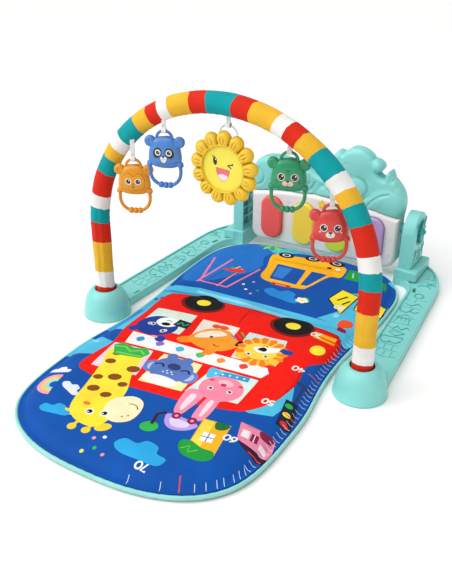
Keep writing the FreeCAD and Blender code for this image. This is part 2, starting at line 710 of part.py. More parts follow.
BATTERY_Z = (62.0, 78.0, 94.0)
BATTERY_R = 7.1
BATTERY_Y = 413.0
DOOR = (-34.0, 34.0, 49.0, 107.0)
SPEAKER = Vector(-112, 0, 158)
SPEAKER_R = 25.0
SWITCH = (92.0, 118.0)


def back_outline(y):
    """Outline of the whole piano from behind: the keyboard box below, the animals above."""
    side, low, bend = PIANO_HALF, PANEL_Z0, PANEL_CORNER_R
    dip = bend * (1 - math.sqrt(0.5))

    def corner(sign):
        """Rounded lower corner, drawn downwards on the right (sign 1) and upwards on the left."""
        ends = [Vector(sign * side, y, low + bend), Vector(sign * (side - bend), y, low)]
        return Part.Arc(ends[0], Vector(sign * (side - dip), y, low + dip), ends[1]).toShape()

    edges = skyline(y) + [
        Part.makeLine(Vector(side, y, SKY_Z), Vector(side, y, low + bend)),
        corner(1),
        Part.makeLine(Vector(side - bend, y, low), Vector(bend - side, y, low)),
        corner(-1),
        Part.makeLine(Vector(-side, y, low + bend), Vector(-side, y, SKY_Z)),
    ]
    return Part.Wire(edges)


def piano_back_shell():
    body = Part.Face(back_outline(BACK_Y0)).extrude(Vector(0, BACK_Y1 - BACK_Y0, 0))
    inner_y = BACK_Y1 - SHELL
    core = panel_face(BACK_Y0 - 1, SHELL).extrude(Vector(0, inner_y - BACK_Y0 + 1, 0))
    body = body.cut(core).cut(animal_pockets(BACK_Y0 - 1, inner_y))
    # battery tray, reached from behind
    x0, x1, z0, z1 = DOOR
    tray = box(x0 - 2, x1 + 2, BATTERY_Y - BATTERY_R - 3.2, TRAY_Y1, z0 - 2, z1 + 2)
    tray = fillet_plane(tray, 1.5, "Y", TRAY_Y1)
    body = body.fuse(tray)
    body = body.cut(box(x0, x1, BATTERY_Y - BATTERY_R - 1.2, TRAY_Y1 + 1, z0, z1))
    # pivot bosses with bores for the knob studs
    for side in (1, -1):
        outer = cyl(PIVOT_BOSS_R, Vector(side * (PIANO_HALF - 12), PIVOT_Y, PIVOT_Z),
                    Vector(side * (POST_IN_X - 0.3), PIVOT_Y, PIVOT_Z))
        body = body.fuse(outer)
    for side in (1, -1):
        bore = cyl(STUD_R + RUN_GAP, Vector(side * (PIANO_HALF - 10), PIVOT_Y, PIVOT_Z),
                   Vector(side * (POST_IN_X + 1), PIVOT_Y, PIVOT_Z))
        body = body.cut(bore)
    holes = []
    for ring_r, count in ((0, 1), (7, 6), (14, 12)):
        for number in range(count):
            angle = 2 * math.pi * number / count
            x = SPEAKER.x + ring_r * math.cos(angle)
            z = SPEAKER.z + ring_r * math.sin(angle)
            holes.append(cyl(1.6, Vector(x, BACK_Y1 - 6, z), Vector(x, BACK_Y1 + 3, z)))
    body = body.cut(Part.makeCompound(holes))
    sx, sz = SWITCH
    body = body.cut(box(sx - 9, sx + 9, BACK_Y1 - SHELL - 1, BACK_Y1 + 1, sz - 3, sz + 3))
    for x, z in SCREW_XZ:
        post = cyl(3.6, Vector(x, BACK_Y0, z), Vector(x, BACK_Y1 - 1, z))
        body = body.fuse(post)
    for x, z in SCREW_XZ:
        body = body.cut(cyl(3.1, Vector(x, BACK_Y1 - 4, z), Vector(x, BACK_Y1 + 1, z)))
        body = body.cut(cyl(1.5, Vector(x, BACK_Y0 - 1, z), Vector(x, BACK_Y1 + 1, z)))
    return body


SCREW_XZ = [(-140, 45), (140, 45), (-70, 40), (70, 40), (-140, 168), (128, 160), (60, 218), (-60, 175)]


def piano_screws():
    """Screws that hold the two halves of the piano together from behind, and the battery door's one."""
    screws = []
    for x, z in SCREW_XZ:
        one = screw(2.9, 1.8, 1.45, 9)
        one.rotate(Vector(0, 0, 0), X_AXIS, 90)
        one.translate(Vector(x, BACK_Y1 - 2.1, z))
        screws.append(one)
    door = screw(2.6, 1.4, 1.2, 9)
    door.rotate(Vector(0, 0, 0), X_AXIS, 90)
    door.translate(Vector(0, TRAY_Y1 - 0.4, DOOR[3] - 4))
    screws.append(door)
    return Part.makeCompound(screws)


def battery_door():
    x0, x1, z0, z1 = DOOR
    gap = 0.3
    plate = box(x0 + gap, x1 - gap, TRAY_Y1 - 2.4, TRAY_Y1, z0 + gap, z1 - gap)
    upright = [e for e in plate.Edges if e.BoundBox.YLength > 2 and e.BoundBox.DiagonalLength < 2.5]
    plate = plate.makeFillet(2.0, upright)
    grips = []
    for rib_z in (z0 + 8, z0 + 12, z0 + 16):
        grips.append(box(-14, 14, TRAY_Y1 - 1, TRAY_Y1 + 1, rib_z, rib_z + 1.4))
    door = fuse_all([plate] + grips)
    z = z1 - 4
    door = door.cut(cyl(2.8, Vector(0, TRAY_Y1 - 1.9, z), Vector(0, TRAY_Y1 + 2, z)))
    return door.cut(cyl(1.3, Vector(0, TRAY_Y1 - 4, z), Vector(0, TRAY_Y1 + 2, z)))


def batteries():
    cells = []
    for number, z in enumerate(BATTERY_Z):
        sign = 1 if number % 2 == 0 else -1
        cell = cyl(BATTERY_R, Vector(-sign * 24.5, BATTERY_Y, z), Vector(sign * 24.5, BATTERY_Y, z))
        nub = cyl(2.7, Vector(sign * 24.5, BATTERY_Y, z), Vector(sign * 25.5, BATTERY_Y, z))
        cells.append(cell.fuse(nub).removeSplitter())
    return Part.makeCompound(cells)


def battery_contacts():
    plates = []
    for side in (1, -1):
        for z in BATTERY_Z:
            start = 33.8 * side
            end = 33.3 * side
            low, high = min(start, end), max(start, end)
            plates.append(box(low, high, BATTERY_Y - 5, BATTERY_Y + 5, z - 5, z + 5))
            coil_start = Vector(side * 33.3, BATTERY_Y, z)
            coil_end = Vector(side * 25.8, BATTERY_Y, z)
            plates[-1] = plates[-1].fuse(Part.makeCone(4.2, 2.4, 7.5, coil_start, coil_end - coil_start))
    return Part.makeCompound(plates)


def circuit_board():
    board = box(-135, 135, 391.0, 392.6, 44, 96)
    chips = [
        box(-16, -4, 392.6, 394.6, 60, 72),
        box(8, 16, 392.6, 394, 62, 70),
        box(-40, -30, 392.6, 395, 58, 64),
    ]
    return fuse_all([board] + chips)


def key_membrane():
    sheet = box(-133, 133, 389.6, 390.8, 48, 92)
    domes = []
    for x in KEY_XS:
        domes.append(Part.makeCone(6.5, 4.0, 1.3, Vector(x, 389.7, 74), Vector(0, -1, 0)))
    return fuse_all([sheet] + domes)


def speaker():
    y_back = BACK_Y1 - SHELL - 0.3
    x, z = SPEAKER.x, SPEAKER.z
    rim = cyl(SPEAKER_R, Vector(x, y_back - 3, z), Vector(x, y_back, z))
    cone = Part.makeCone(14, SPEAKER_R - 2, 9, Vector(x, y_back - 12, z), Y_AXIS)
    magnet = cyl(13, Vector(x, y_back - 18, z), Vector(x, y_back - 11.5, z))
    bowl = Part.makeCone(4, SPEAKER_R - 5, 6, Vector(x, y_back - 5.9, z), Y_AXIS)
    return fuse_all([rim, cone, magnet]).cut(bowl)


def power_switch():
    sx, sz = SWITCH
    button = box(sx - 7.5, sx - 2.5, BACK_Y1 - SHELL - 2, BACK_Y1 + 2, sz - 2.6, sz + 2.6)
    slider = box(sx - 10, sx, BACK_Y1 - SHELL - 3.5, BACK_Y1 - SHELL - 0.4, sz - 5, sz + 5)
    return fuse_all([button, slider])


def tilt_knob():
    """Star-shaped clamp knob with its moulded-in stud, on the right post."""
    face = star_face(19.5, 0, 0, points=5, inner=0.6)
    face.rotate(Vector(0, 0, 0), Z_AXIS, 90)
    x0 = POST_OUT_X - 8.4
    grip = face.extrude(Vector(12, 0, 0))
    grip.translate(Vector(x0, PIVOT_Y, PIVOT_Z))
    tip = Part.makeCone(8, 2, 6, Vector(x0 + 12, PIVOT_Y, PIVOT_Z), X_AXIS)
    disc = cyl(20, Vector(x0, PIVOT_Y, PIVOT_Z), Vector(x0 + 3, PIVOT_Y, PIVOT_Z))
    stud = cyl(STUD_R, Vector(PIANO_HALF - 8, PIVOT_Y, PIVOT_Z), Vector(x0 + 1, PIVOT_Y, PIVOT_Z))
    return fuse_all([grip, tip, disc, stud])


# ---- the whole gym ----
def all_nodes():
    cup, side_rail, right_post = foot_cup(), rail(), post()
    knob = tilt_knob()
    nodes = {
        "mat_pad": mat_pad(),
        "mat_piping": mat_piping(),
        "foot_cup_left": mirrored(cup),
        "foot_cup_right": cup,
        "rail_left": mirrored(side_rail),
        "rail_right": side_rail,
        "post_left": mirrored(right_post),
        "post_right": right_post,
        "post_screws": post_screws(),
        "grip_pads": grip_pads(),
        "arch_tube_left": arch_tube(-1),
        "arch_tube_right": arch_tube(1),
        "arch_joiner": arch_joiner(),
        "arch_sleeve": arch_sleeve(),
        "tilt_knob_left": mirrored(knob),
        "tilt_knob_right": knob,
        "piano_front_panel": piano_front_panel(),
        "piano_animal_cover": animal_cover(),
        "piano_back_shell": piano_back_shell(),
        "piano_screws": piano_screws(),
        "star_button": star_button(),
        "key_membrane": key_membrane(),
        "circuit_board": circuit_board(),
        "speaker": speaker(),
        "power_switch": power_switch(),
        "batteries": batteries(),
        "battery_contacts": battery_contacts(),
        "battery_door": battery_door(),
    }
    for colour, x in zip(KEY_COLOURS, KEY_XS):
        nodes["key_" + colour] = piano_key(x)
    for name, (x, y, yaw, z) in strap_list().items():
        nodes["strap_" + name] = strap(x, y, yaw, z)
    pieces = toy_pieces()
    for name, x, y, z, yaw in TOYS:
        for piece, shape in pieces.items():
            nodes[name + "_" + piece] = place_toy(shape, x, y, z, yaw)
    centre = Vector(SUN_X, 0, SUN_Z)
    for node, shape in (("sun_front_shell", sun_front_shell()), ("sun_back_shell", sun_back_shell()),
                        ("sun_face_disc", sun_face_disc()), ("sun_mirror", sun_mirror()),
                        ("sun_ring", sun_ring())):
        shape.translate(centre)
        nodes[node] = shape
    return nodes


os.makedirs("parts", exist_ok=True)
for node, shape in all_nodes().items():
    if not shape.isValid():
        print("not valid:", node)
    shape.exportStep("parts/" + node + ".step")
    size = shape.BoundBox
    print(node, len(shape.Solids), round(shape.Volume), [round(v, 1) for v in (
        size.XMin, size.XMax, size.YMin, size.YMax, size.ZMin, size.ZMax)])
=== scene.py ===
import bpy
import bmesh
import math
from mathutils import Matrix, Vector, geometry, kdtree, noise
from mathutils.bvhtree import BVHTree


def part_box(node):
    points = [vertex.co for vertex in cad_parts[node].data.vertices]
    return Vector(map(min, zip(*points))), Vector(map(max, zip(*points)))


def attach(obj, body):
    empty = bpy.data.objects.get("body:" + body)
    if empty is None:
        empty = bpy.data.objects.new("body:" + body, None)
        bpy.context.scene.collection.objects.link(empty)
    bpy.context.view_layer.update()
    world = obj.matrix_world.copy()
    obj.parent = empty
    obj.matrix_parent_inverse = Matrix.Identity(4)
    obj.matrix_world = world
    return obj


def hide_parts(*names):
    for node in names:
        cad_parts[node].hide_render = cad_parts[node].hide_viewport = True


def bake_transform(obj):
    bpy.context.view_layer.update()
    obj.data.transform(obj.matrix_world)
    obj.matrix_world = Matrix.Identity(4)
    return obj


# Baby's activity play gym: a padded printed mat, two side rails with cups, a cloth-covered toy arch, four rattles
# and a sunflower mirror on webbing, and a kick piano between two posts. Metres, in the frame of the CAD parts.
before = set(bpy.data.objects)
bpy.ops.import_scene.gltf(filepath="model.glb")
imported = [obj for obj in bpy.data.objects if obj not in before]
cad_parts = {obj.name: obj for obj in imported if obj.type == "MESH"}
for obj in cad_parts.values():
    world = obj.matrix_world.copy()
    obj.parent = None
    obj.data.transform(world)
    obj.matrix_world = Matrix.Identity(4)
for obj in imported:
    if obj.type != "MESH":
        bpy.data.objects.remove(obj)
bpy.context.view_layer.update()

# ---- studio ----
# A seamless pale sweep lit by one very wide soft source overhead, with a key softbox from the left front and a
# weak fill from the right. The sweep is matt card, which takes only a faint soft shadow.


def linear(hex_colour):
    """An sRGB hex colour as linear RGBA."""
    channels = [int(hex_colour[start:start + 2], 16) / 255 for start in (1, 3, 5)]
    return [c / 12.92 if c <= 0.04045 else ((c + 0.055) / 1.055) ** 2.4 for c in channels] + [1.0]


def add_node(material, kind, links=None, settings=None):
    """Adds a node: settings are its properties, and links gives each input another node's output or a value."""
    made = material.node_tree.nodes.new(kind)
    for name, value in (settings or {}).items():
        setattr(made, name, value)
    for name, value in (links or {}).items():
        if isinstance(value, bpy.types.NodeSocket):
            material.node_tree.links.new(value, made.inputs[name])
        else:
            made.inputs[name].default_value = value
    return made


def new_material(name):
    material = bpy.data.materials.new(name)
    material.use_nodes = True
    material.node_tree.nodes.clear()
    return material


def deselect():
    if bpy.context.mode != "OBJECT":
        bpy.ops.object.mode_set(mode="OBJECT")
    bpy.ops.object.select_all(action="DESELECT")


deselect()
bpy.ops.mesh.primitive_plane_add(size=12, location=(0, 0, -0.0006))
floor = bpy.context.active_object
floor.name = "studio_sweep"
card = new_material("matt_card_sweep")
card_fibre = add_node(card, "ShaderNodeTexNoise", {"Scale": 60.0, "Detail": 3.0})
card_tone = add_node(card, "ShaderNodeMix", {0: card_fibre.outputs[0], 6: linear("#fbfafa"), 7: linear("#ffffff")},
                     {"data_type": "RGBA"})
card_skin = add_node(card, "ShaderNodeBsdfPrincipled", {"Base Color": card_tone.outputs[2], "Roughness": 0.95})
add_node(card, "ShaderNodeOutputMaterial", {"Surface": card_skin.outputs[0]})
floor.data.materials.append(card)

bpy.context.scene.view_settings.view_transform = "Standard"
world = bpy.data.worlds.new("studio_air")
bpy.context.scene.world = world
world.use_nodes = True
world.node_tree.nodes["Background"].inputs["Color"].default_value = linear("#fbfaf8")
world.node_tree.nodes["Background"].inputs["Strength"].default_value = 0.50

for name, place, aim, size, watts in [
    ("overhead_softbox", (-0.2, 0.1, 1.9), (0.0, 0.0, 0.1), 1.6, 3.0),
    ("key_softbox", (-1.5, -1.3, 1.5), (0.0, 0.0, 0.15), 0.9, 8.0),
    ("fill_card", (1.8, -0.9, 0.9), (0.0, 0.0, 0.15), 1.2, 2.0),
]:
    turn = (Vector(aim) - Vector(place)).to_track_quat("-Z", "Y").to_euler()
    bpy.ops.object.light_add(type="AREA", location=place, rotation=turn)
    lamp = bpy.context.active_object
    lamp.name = name
    lamp.data.size = size
    lamp.data.energy = watts

bpy.ops.object.light_add(type="SUN", location=(-1.0, -0.8, 3.0), rotation=(math.radians(26), math.radians(-24), 0))
sky = bpy.context.active_object
sky.name = "wide_soft_source"
sky.data.energy = 2.1
sky.data.angle = math.radians(75)

eye = Vector((0.5352, -0.9088, 0.6780))
turn = (Vector((-0.001, 0.0, 0.1045)) - eye).to_track_quat("-Z", "Y").to_euler()
bpy.ops.object.camera_add(location=eye, rotation=turn)
camera = bpy.context.active_object
camera.data.lens = 46.96
camera.data.sensor_width = 36.0
camera.data.shift_x = 0.006
bpy.context.scene.camera = camera

# ---- mat ----
# A flat cushion of polyester wadding between two faces of brushed polyester, about 20 mm thick, sewn shut round
# its edge. The scenes are sublimation-printed on the top face before it is cut, and lie upside down as seen from
# the front. The wadding is puffed up by a cloth simulation, and the printed face is cut along every ink edge.
PRINT_MM = 0.001


def oval(x, y, across, along, turn=0.0, count=26):
    """Outline of an ellipse in millimetres; turn is in degrees."""
    c, s = math.cos(math.radians(turn)), math.sin(math.radians(turn))
    steps = [2 * math.pi * n / count for n in range(count)]
    return [(x + c * across * math.cos(a) - s * along * math.sin(a),
             y + s * across * math.cos(a) + c * along * math.sin(a)) for a in steps]


def soft(points, steps=5):
    """A closed smooth outline through the points."""
    made = []
    for n in range(len(points)):
        a, b, c, d = (Vector(points[(n + k - 1) % len(points)]) for k in range(4))
        for k in range(steps):
            t = k / steps
            p = 0.5 * (2 * b + (c - a) * t + (2 * a - 5 * b + 4 * c - d) * t * t + (3 * b - a - 3 * c + d) * t ** 3)
            made.append((p.x, p.y))
    return made


def line(points, width):
    """Outline of a drawn stroke of that width along the points."""
    left, right = [], []
    for n, point in enumerate(points):
        here = Vector(point)
        run = Vector(points[min(n + 1, len(points) - 1)]) - Vector(points[max(n - 1, 0)])
        side = Vector((-run.y, run.x)).normalized() * width / 2
        left.append(tuple(here + side))
        right.append(tuple(here - side))
    return left + right[::-1]


def bow(x, y, radius, start, end, count=9):
    """Points along an arc; the angles are in degrees."""
    angles = [math.radians(start + (end - start) * n / (count - 1)) for n in range(count)]
    return [(x + radius * math.cos(a), y + radius * math.sin(a)) for a in angles]


def moved(points, x, y, scale=1.0, turn=0.0):
    c, s = math.cos(math.radians(turn)) * scale, math.sin(math.radians(turn)) * scale
    return [(x + c * px - s * py, y + s * px + c * py) for px, py in points]


def inset(points, distance):
    """A closed outline moved inwards."""
    ahead = [Vector(points[(n + 1) % len(points)]) - Vector(points[n - 1]) for n in range(len(points))]
    area = sum(points[n - 1][0] * points[n][1] - points[n][0] * points[n - 1][1] for n in range(len(points)))
    way = distance if area > 0 else -distance
    return [(p[0] - d.normalized().y * way, p[1] + d.normalized().x * way) for p, d in zip(points, ahead)]


def cut_sheet(name, layers, spacing, bodies=1, scale=PRINT_MM):
    """A flat triangle sheet in XY, cut along every outline of layers so that each ink or moulded edge is clean.
    layers holds (ink, outline) from the lowest up; the first few, bodies, are the sheet itself."""
    points, rings = [], []
    for _, outline in layers:
        area = sum(outline[n - 1][0] * outline[n][1] - outline[n][0] * outline[n - 1][1] for n in range(len(outline)))
        turned = outline if area > 0 else outline[::-1]
        rings.append(list(range(len(points), len(points) + len(turned))))
        points.extend(Vector(p) for p in turned)
    edge = [p for _, outline in layers[:bodies] for p in outline]
    low_x, high_x = min(p[0] for p in edge), max(p[0] for p in edge)
    low_y, high_y = min(p[1] for p in edge), max(p[1] for p in edge)
    row, y = 0, low_y + spacing * 0.4
    while y < high_y:
        x = low_x + spacing * (0.25 + 0.5 * (row % 2))
        while x < high_x:
            points.append(Vector((x, y)))
            x += spacing
        y += spacing * 0.866
        row += 1
    corners, _, triangles, _, _, covers = geometry.delaunay_2d_cdt(points, [], rings, 1, 1e-5)
    kept = [(t, c) for t, c in zip(triangles, covers) if c and min(c) < bodies]
    used = sorted({n for t, _ in kept for n in t})
    number = {old: new for new, old in enumerate(used)}
    mesh = bpy.data.meshes.new(name)
    mesh.from_pydata([(corners[n].x * scale, corners[n].y * scale, 0) for n in used], [],
                     [[number[n] for n in t] for t, _ in kept])
    mesh.validate()
    ink = mesh.color_attributes.new("ink", "FLOAT_COLOR", "CORNER")
    tones = {hue: linear(hue) for hue, _ in layers if hue}
    for face, (_, cover) in zip(mesh.polygons, kept):
        top = max(c for c in cover if layers[c][0])
        for loop in face.loop_indices:
            ink.data[loop].color = tones[layers[top][0]]
    made = bpy.data.objects.new(name, mesh)
    bpy.context.scene.collection.objects.link(made)
    return made


def edge_loop(node, height):
    """The outline of a CAD node's level face at that height, as points in millimetres in turning order."""
    found = {(round(v.co.x * 1000, 2), round(v.co.y * 1000, 2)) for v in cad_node(node).data.vertices
             if abs(v.co.z - height) < 1e-5}
    return sorted(found, key=lambda p: math.atan2(p[1], p[0]))


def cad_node(name):
    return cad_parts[name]


def evened(points, step):
    """The same closed outline with its points a step apart."""
    ring = [Vector(p) for p in points] + [Vector(points[0])]
    lengths = [0.0]
    for a, b in zip(ring, ring[1:]):
        lengths.append(lengths[-1] + (b - a).length)
    count = round(lengths[-1] / step)
    made, span = [], 0
    for n in range(count):
        at = lengths[-1] * n / count
        while lengths[span + 1] < at:
            span += 1
        share = (at - lengths[span]) / (lengths[span + 1] - lengths[span])
        p = ring[span].lerp(ring[span + 1], share)
        made.append((p.x, p.y))
    return made


MAT_EDGE = evened(edge_loop("mat_pad", 0.0), 5.0)
NAVY, DEEP, SKY, RED, WHITE, BLACK = "#083a8c", "#0450a8", "#4fbce0", "#ee1606", "#f2f2f0", "#0e0f14"
YELLOW, SUNNY, PINK, LEAF, PALE = "#fbe63c", "#f9b21c", "#f58fae", "#2fb34c", "#8fd3ea"


def ground_art():
    """Roads and light patches of the street scene."""
    road = [(-215, 122), (-120, 124), (0, 129), (80, 131), (215, 133), (215, 92), (158, 96), (80, 92), (0, 90),
            (-120, 74), (-215, 66)]
    return [
        (SKY, road),
        (PALE, line([(-120, 112), (-30, 116), (100, 112)], 7)),
        ("#2f8fc4", line([(-200, 100), (-100, 104), (40, 103), (150, 101)], 5)),
        (SKY, [(-215, -166), (-128, -141), (-118, -108), (-172, -96), (-215, -100)]),
        (SKY, [(-215, -60), (-150, -62), (-140, 30), (-158, 62), (-215, 66)]),
        ("#3f8fd0", [(-215, -62), (-172, -66), (-166, 20), (-215, 22)]),
        (PALE, line([(-178, -112), (-166, -111)], 6)),
        (SKY, [(124, -55), (161, -67), (173, -101), (165, -144), (133, -156), (104, -150), (60, -150)]),
        (SKY, soft([(160, 340), (199, 294), (186, 211), (178, 150), (168, 93), (186, 93), (215, 150), (215, 330)])),
        (SKY, [(106, 133), (140, 187), (116, 239), (160, 262), (215, 200), (215, 128)]),
        ("#1c6fc4", soft([(-85, 372), (-60, 340), (-80, 300), (-66, 240), (-130, 150), (-185, 160), (-205, 330)])),
        (SKY, soft([(-110, 368), (-92, 335), (-60, 322), (-20, 350), (60, 362), (60, 390), (-110, 390)])),
        (PALE, line([(118, 186), (121, 199)], 9)),
        (PALE, line([(131, 150), (133, 161)], 9)),
    ]


def cloud(x, y, scale, hue, turn=0):
    puffs = [(-26, 0), (-20, 11), (-6, 10), (2, 18), (16, 15), (20, 6), (32, 3), (28, -8), (8, -9), (-14, -8)]
    return (hue, soft(moved(puffs, x, y, scale, turn)))


def sprinkle(x, y, hues, spots):
    return [(hue, oval(x + dx, y + dy, 3.0, 3.0, 0, 8)) for hue, (dx, dy) in zip(hues, spots)]


def bus_art():
    """The red bus that fills the middle of the mat, without lettering on its side."""
    body = soft([(-164, 66), (-150, 88), (-60, 99), (60, 98), (145, 97), (161, 90), (172, 60), (168, 20), (150, -14),
                 (157, -60), (152, -110), (138, -142), (112, -163), (40, -180), (-14, -186), (-80, -193),
                 (-128, -192), (-150, -180), (-150, -140), (-146, -100), (-158, -50), (-160, 10)], 4)
    art = [("#c4150c", moved(body, 3, 7)), (RED, body)]
    art += [("#a01010", line([(-3, 96), (2, 46)], 1.6))]
    for x, y, wide in ((-86, 80, 36), (84, 88, 34)):
        art += [("#7c0d10", oval(x, y - 3, wide + 5, 32)), (BLACK, oval(x, y, wide, 29)),
                (YELLOW, oval(x, y, 13.0, 11.0))]
    art += [(YELLOW, oval(149, 42, 11, 14, -20)), (SUNNY, line([(124, 85), (162, 86)], 11)),
            (SUNNY, line([(128, 74), (164, 74)], 5))]
    windows = {
        "#d8e6d8": [(-145, 25), (-71, 35), (-64, -32), (-144, -39)],
        "#f3e4d6": [(-56, 30), (11, 37), (19, -30), (-44, -38)],
        "#cfe6e2": [(31, 33), (97, 40), (113, -33), (41, -46)],
        "#e7d3e2": [(-142, -101), (-72, -94), (-57, -161), (-133, -173)],
        "#f6e9a8": [(-53, -92), (14, -86), (25, -161), (-47, -170)],
        "#d3e9e4": [(34, -86), (108, -79), (110, -146), (28, -158)],
    }
    for hue, corners in windows.items():
        art.append((hue, soft([tuple(Vector(a).lerp(Vector(b), t)) for a, b in
                               zip(corners, corners[1:] + corners[:1]) for t in (0.06, 0.5, 0.94)], 3)))
    art += [(WHITE, [(-136, -60), (-92, -58), (104, -43), (113, -56), (108, -72), (-128, -94)])]
    patches = ((-112, "#3f8fd0"), (-76, "#8a6ac8"), (-40, "#49b6de"), (-4, "#5cc25a"), (32, "#f6913c"),
               (70, "#e8453c"))
    for x, hue in patches:
        art.append((hue, moved(soft([(-7, 0), (0, 8), (8, 1), (1, -8)], 3), x, -74 + (x + 112) * 0.085)))
    return art


def eyes(x, y, gap, size, turn=0, hue=WHITE):
    """Two round eyes with pupils and glints; turn is the tilt of the head."""
    art = []
    for side in (-1, 1):
        (ex, ey), = moved([(side * gap, 0)], x, y, 1.0, turn)
        art += [(hue, oval(ex, ey, size * 1.5, size * 1.5, 0, 14)), (BLACK, oval(ex, ey, size, size, 0, 12)),
                (WHITE, oval(ex - size * 0.35, ey - size * 0.35, size * 0.35, size * 0.35, 0, 7))]
    return art


def rider_art():
    """Five animals at the bus windows, each seen head down."""
    bear = [("#1c3f9c", oval(-143, -50, 9, 9)), ("#1c3f9c", oval(-84, -58, 9, 9)),
            ("#1a3a94", oval(-112, -26, 36, 31, 12)), (WHITE, oval(-103, -9, 19, 15, 10)),
            (BLACK, oval(-102, -15, 8, 5, 10)), (BLACK, line(bow(-102, -8, 5, 20, 160), 1.4)),
            (WHITE, oval(-127, -25, 4, 4)), (WHITE, oval(-92, -33, 4, 4)), (BLACK, oval(-127, -25, 2.2, 2.2, 0, 9)),
            (BLACK, oval(-92, -33, 2.2, 2.2, 0, 9)), ("#1d2a3c",
                                                      moved([(-14, -9), (14, -9), (12, 11), (-12, 11)], -77, -2)),
            (LEAF, line([(-86, -6), (-80, 2), (-74, -4), (-68, 3)], 3)), ("#f2a3b4", oval(-96, -57, 6, 3))]
    fox = [("#f08a1c", soft([(-62, -40), (-52, -50), (-36, -40), (-44, -26)])),
           ("#f08a1c", soft([(-4, -60), (10, -56), (12, -38), (-4, -40)])),
           ("#f39a2a", soft([(-46, -34), (-14, -46), (20, -38), (38, -8), (20, 4), (2, 18), (-26, 14), (-44, -10)])),
           ("#fbe7cf", soft([(-40, -24), (-16, -12), (4, 6), (-14, 12), (-36, -4)])),
           ("#e8542a", oval(-25, 22, 8, 6)),
           ("#e8542a", oval(-12, 24, 9, 6)), (BLACK, soft([(30, -14), (40, -10), (38, 2), (30, 0)])),
           (BLACK, oval(-16, -10, 3, 3, 0, 9)), (BLACK, line(bow(4, -24, 6, 200, 330), 1.6)),
           ("#e8453c", line([(14, 20), (30, 8)], 3)), (LEAF, line([(20, 26), (34, 14)], 3)),
           ("#3f8fd0", line([(8, 12), (24, 2)], 3))]
    lion = [("#f5821e", soft([tuple(Vector((75, -8)) + Vector((math.cos(a), math.sin(a))) * (43 if n % 2 else 38))
                              for n, a in enumerate(2 * math.pi * n / 30 for n in range(30))], 2))]
    for n in range(15):
        lion.append(("#fbc43a", line([tuple(Vector((75, -8)) + Vector((math.cos(n * 0.4189),
                                                                       math.sin(n * 0.4189))) * r)
                                     for r in (24, 38)], 4)))
    lion += [("#fbc43a", oval(50, -34, 9, 8)), ("#fbc43a", oval(104, -24, 9, 8)), ("#fcd54e", oval(73, -8, 27, 23)),
             (WHITE, soft([(58, -2), (76, 8), (96, 14), (98, 4), (86, -6), (70, -12)])),
             (BLACK, soft([(66, -4), (78, -6), (80, 2), (72, 5)])),
             ("#1c3f9c", moved([(-12, -2), (0, -8), (12, -4), (10, 6), (-8, 7)], 110, 10)),
             (BLACK, line(bow(74, 6, 5, 20, 160), 1.4))]
    koala = [("#5f82c8", oval(-50, -128, 14, 16, 20)), ("#a9bde4", oval(-50, -128, 8, 10, 20)),
             ("#5f82c8", oval(14, -126, 14, 16)),
             ("#a9bde4", oval(14, -126, 8, 10)), ("#5878c0", oval(-19, -122, 34, 32, 5)),
             ("#5878c0", oval(-36, -92, 9, 9)), ("#5878c0", oval(-10, -90, 9, 9)),
             ("#2c3e78", oval(-19, -114, 11, 8.5)), (WHITE,
                                                     soft([(-46, -150), (-20, -142), (6, -146), (4, -160),
                                                           (-22, -166), (-46, -160)])),
             (BLACK, line(bow(-41, -124, 7.5, 10, 170), 2.8)), (BLACK, line(bow(3, -120, 7.5, 10, 170), 2.8))]
    koala += [("#c7d6f2", oval(-19 + dx, -133 + dy, 1.8, 1.8, 0, 7)) for dx,
              dy in ((-8, 0), (0, 0), (8, 1), (-4, 5), (4, 5))]
    rabbit = [(PINK, soft([(30, -150), (38, -200), (50, -208), (56, -196), (58, -150)])),
              ("#fbdde4", soft([(40, -160), (44, -194), (50, -194), (50, -160)])),
              (PINK, soft([(66, -150), (68, -200), (80, -208), (88, -196), (84, -150)])),
              ("#fbdde4", soft([(72, -160), (76, -194), (81, -194), (79, -160)])),
              ("#f78aa4", oval(71, -126, 34, 31)), ("#fbb9c8", oval(71, -112, 12, 8)),
              ("#d8304c", oval(70, -117, 5, 3.6)),
              ("#e8405c", oval(48, -113, 4, 3)), ("#e8405c", oval(94, -108, 4, 3)),
              ("#2f9fd0", line([(34, -98), (58, -92), (96, -86)], 13)),
              ("#49c0e6", soft([(38, -112), (30, -86), (54, -90)]))]
    rabbit += [(WHITE, oval(44 + 11 * n, -96 + 2.2 * n, 2, 2, 0, 8)) for n in range(5)]
    return (bear + eyes(-108, -30, 15, 3.2, -24) + fox + lion + eyes(73, -20, 14, 2.8, 14) + koala + rabbit
            + eyes(71, -130, 15, 3.0, 8))


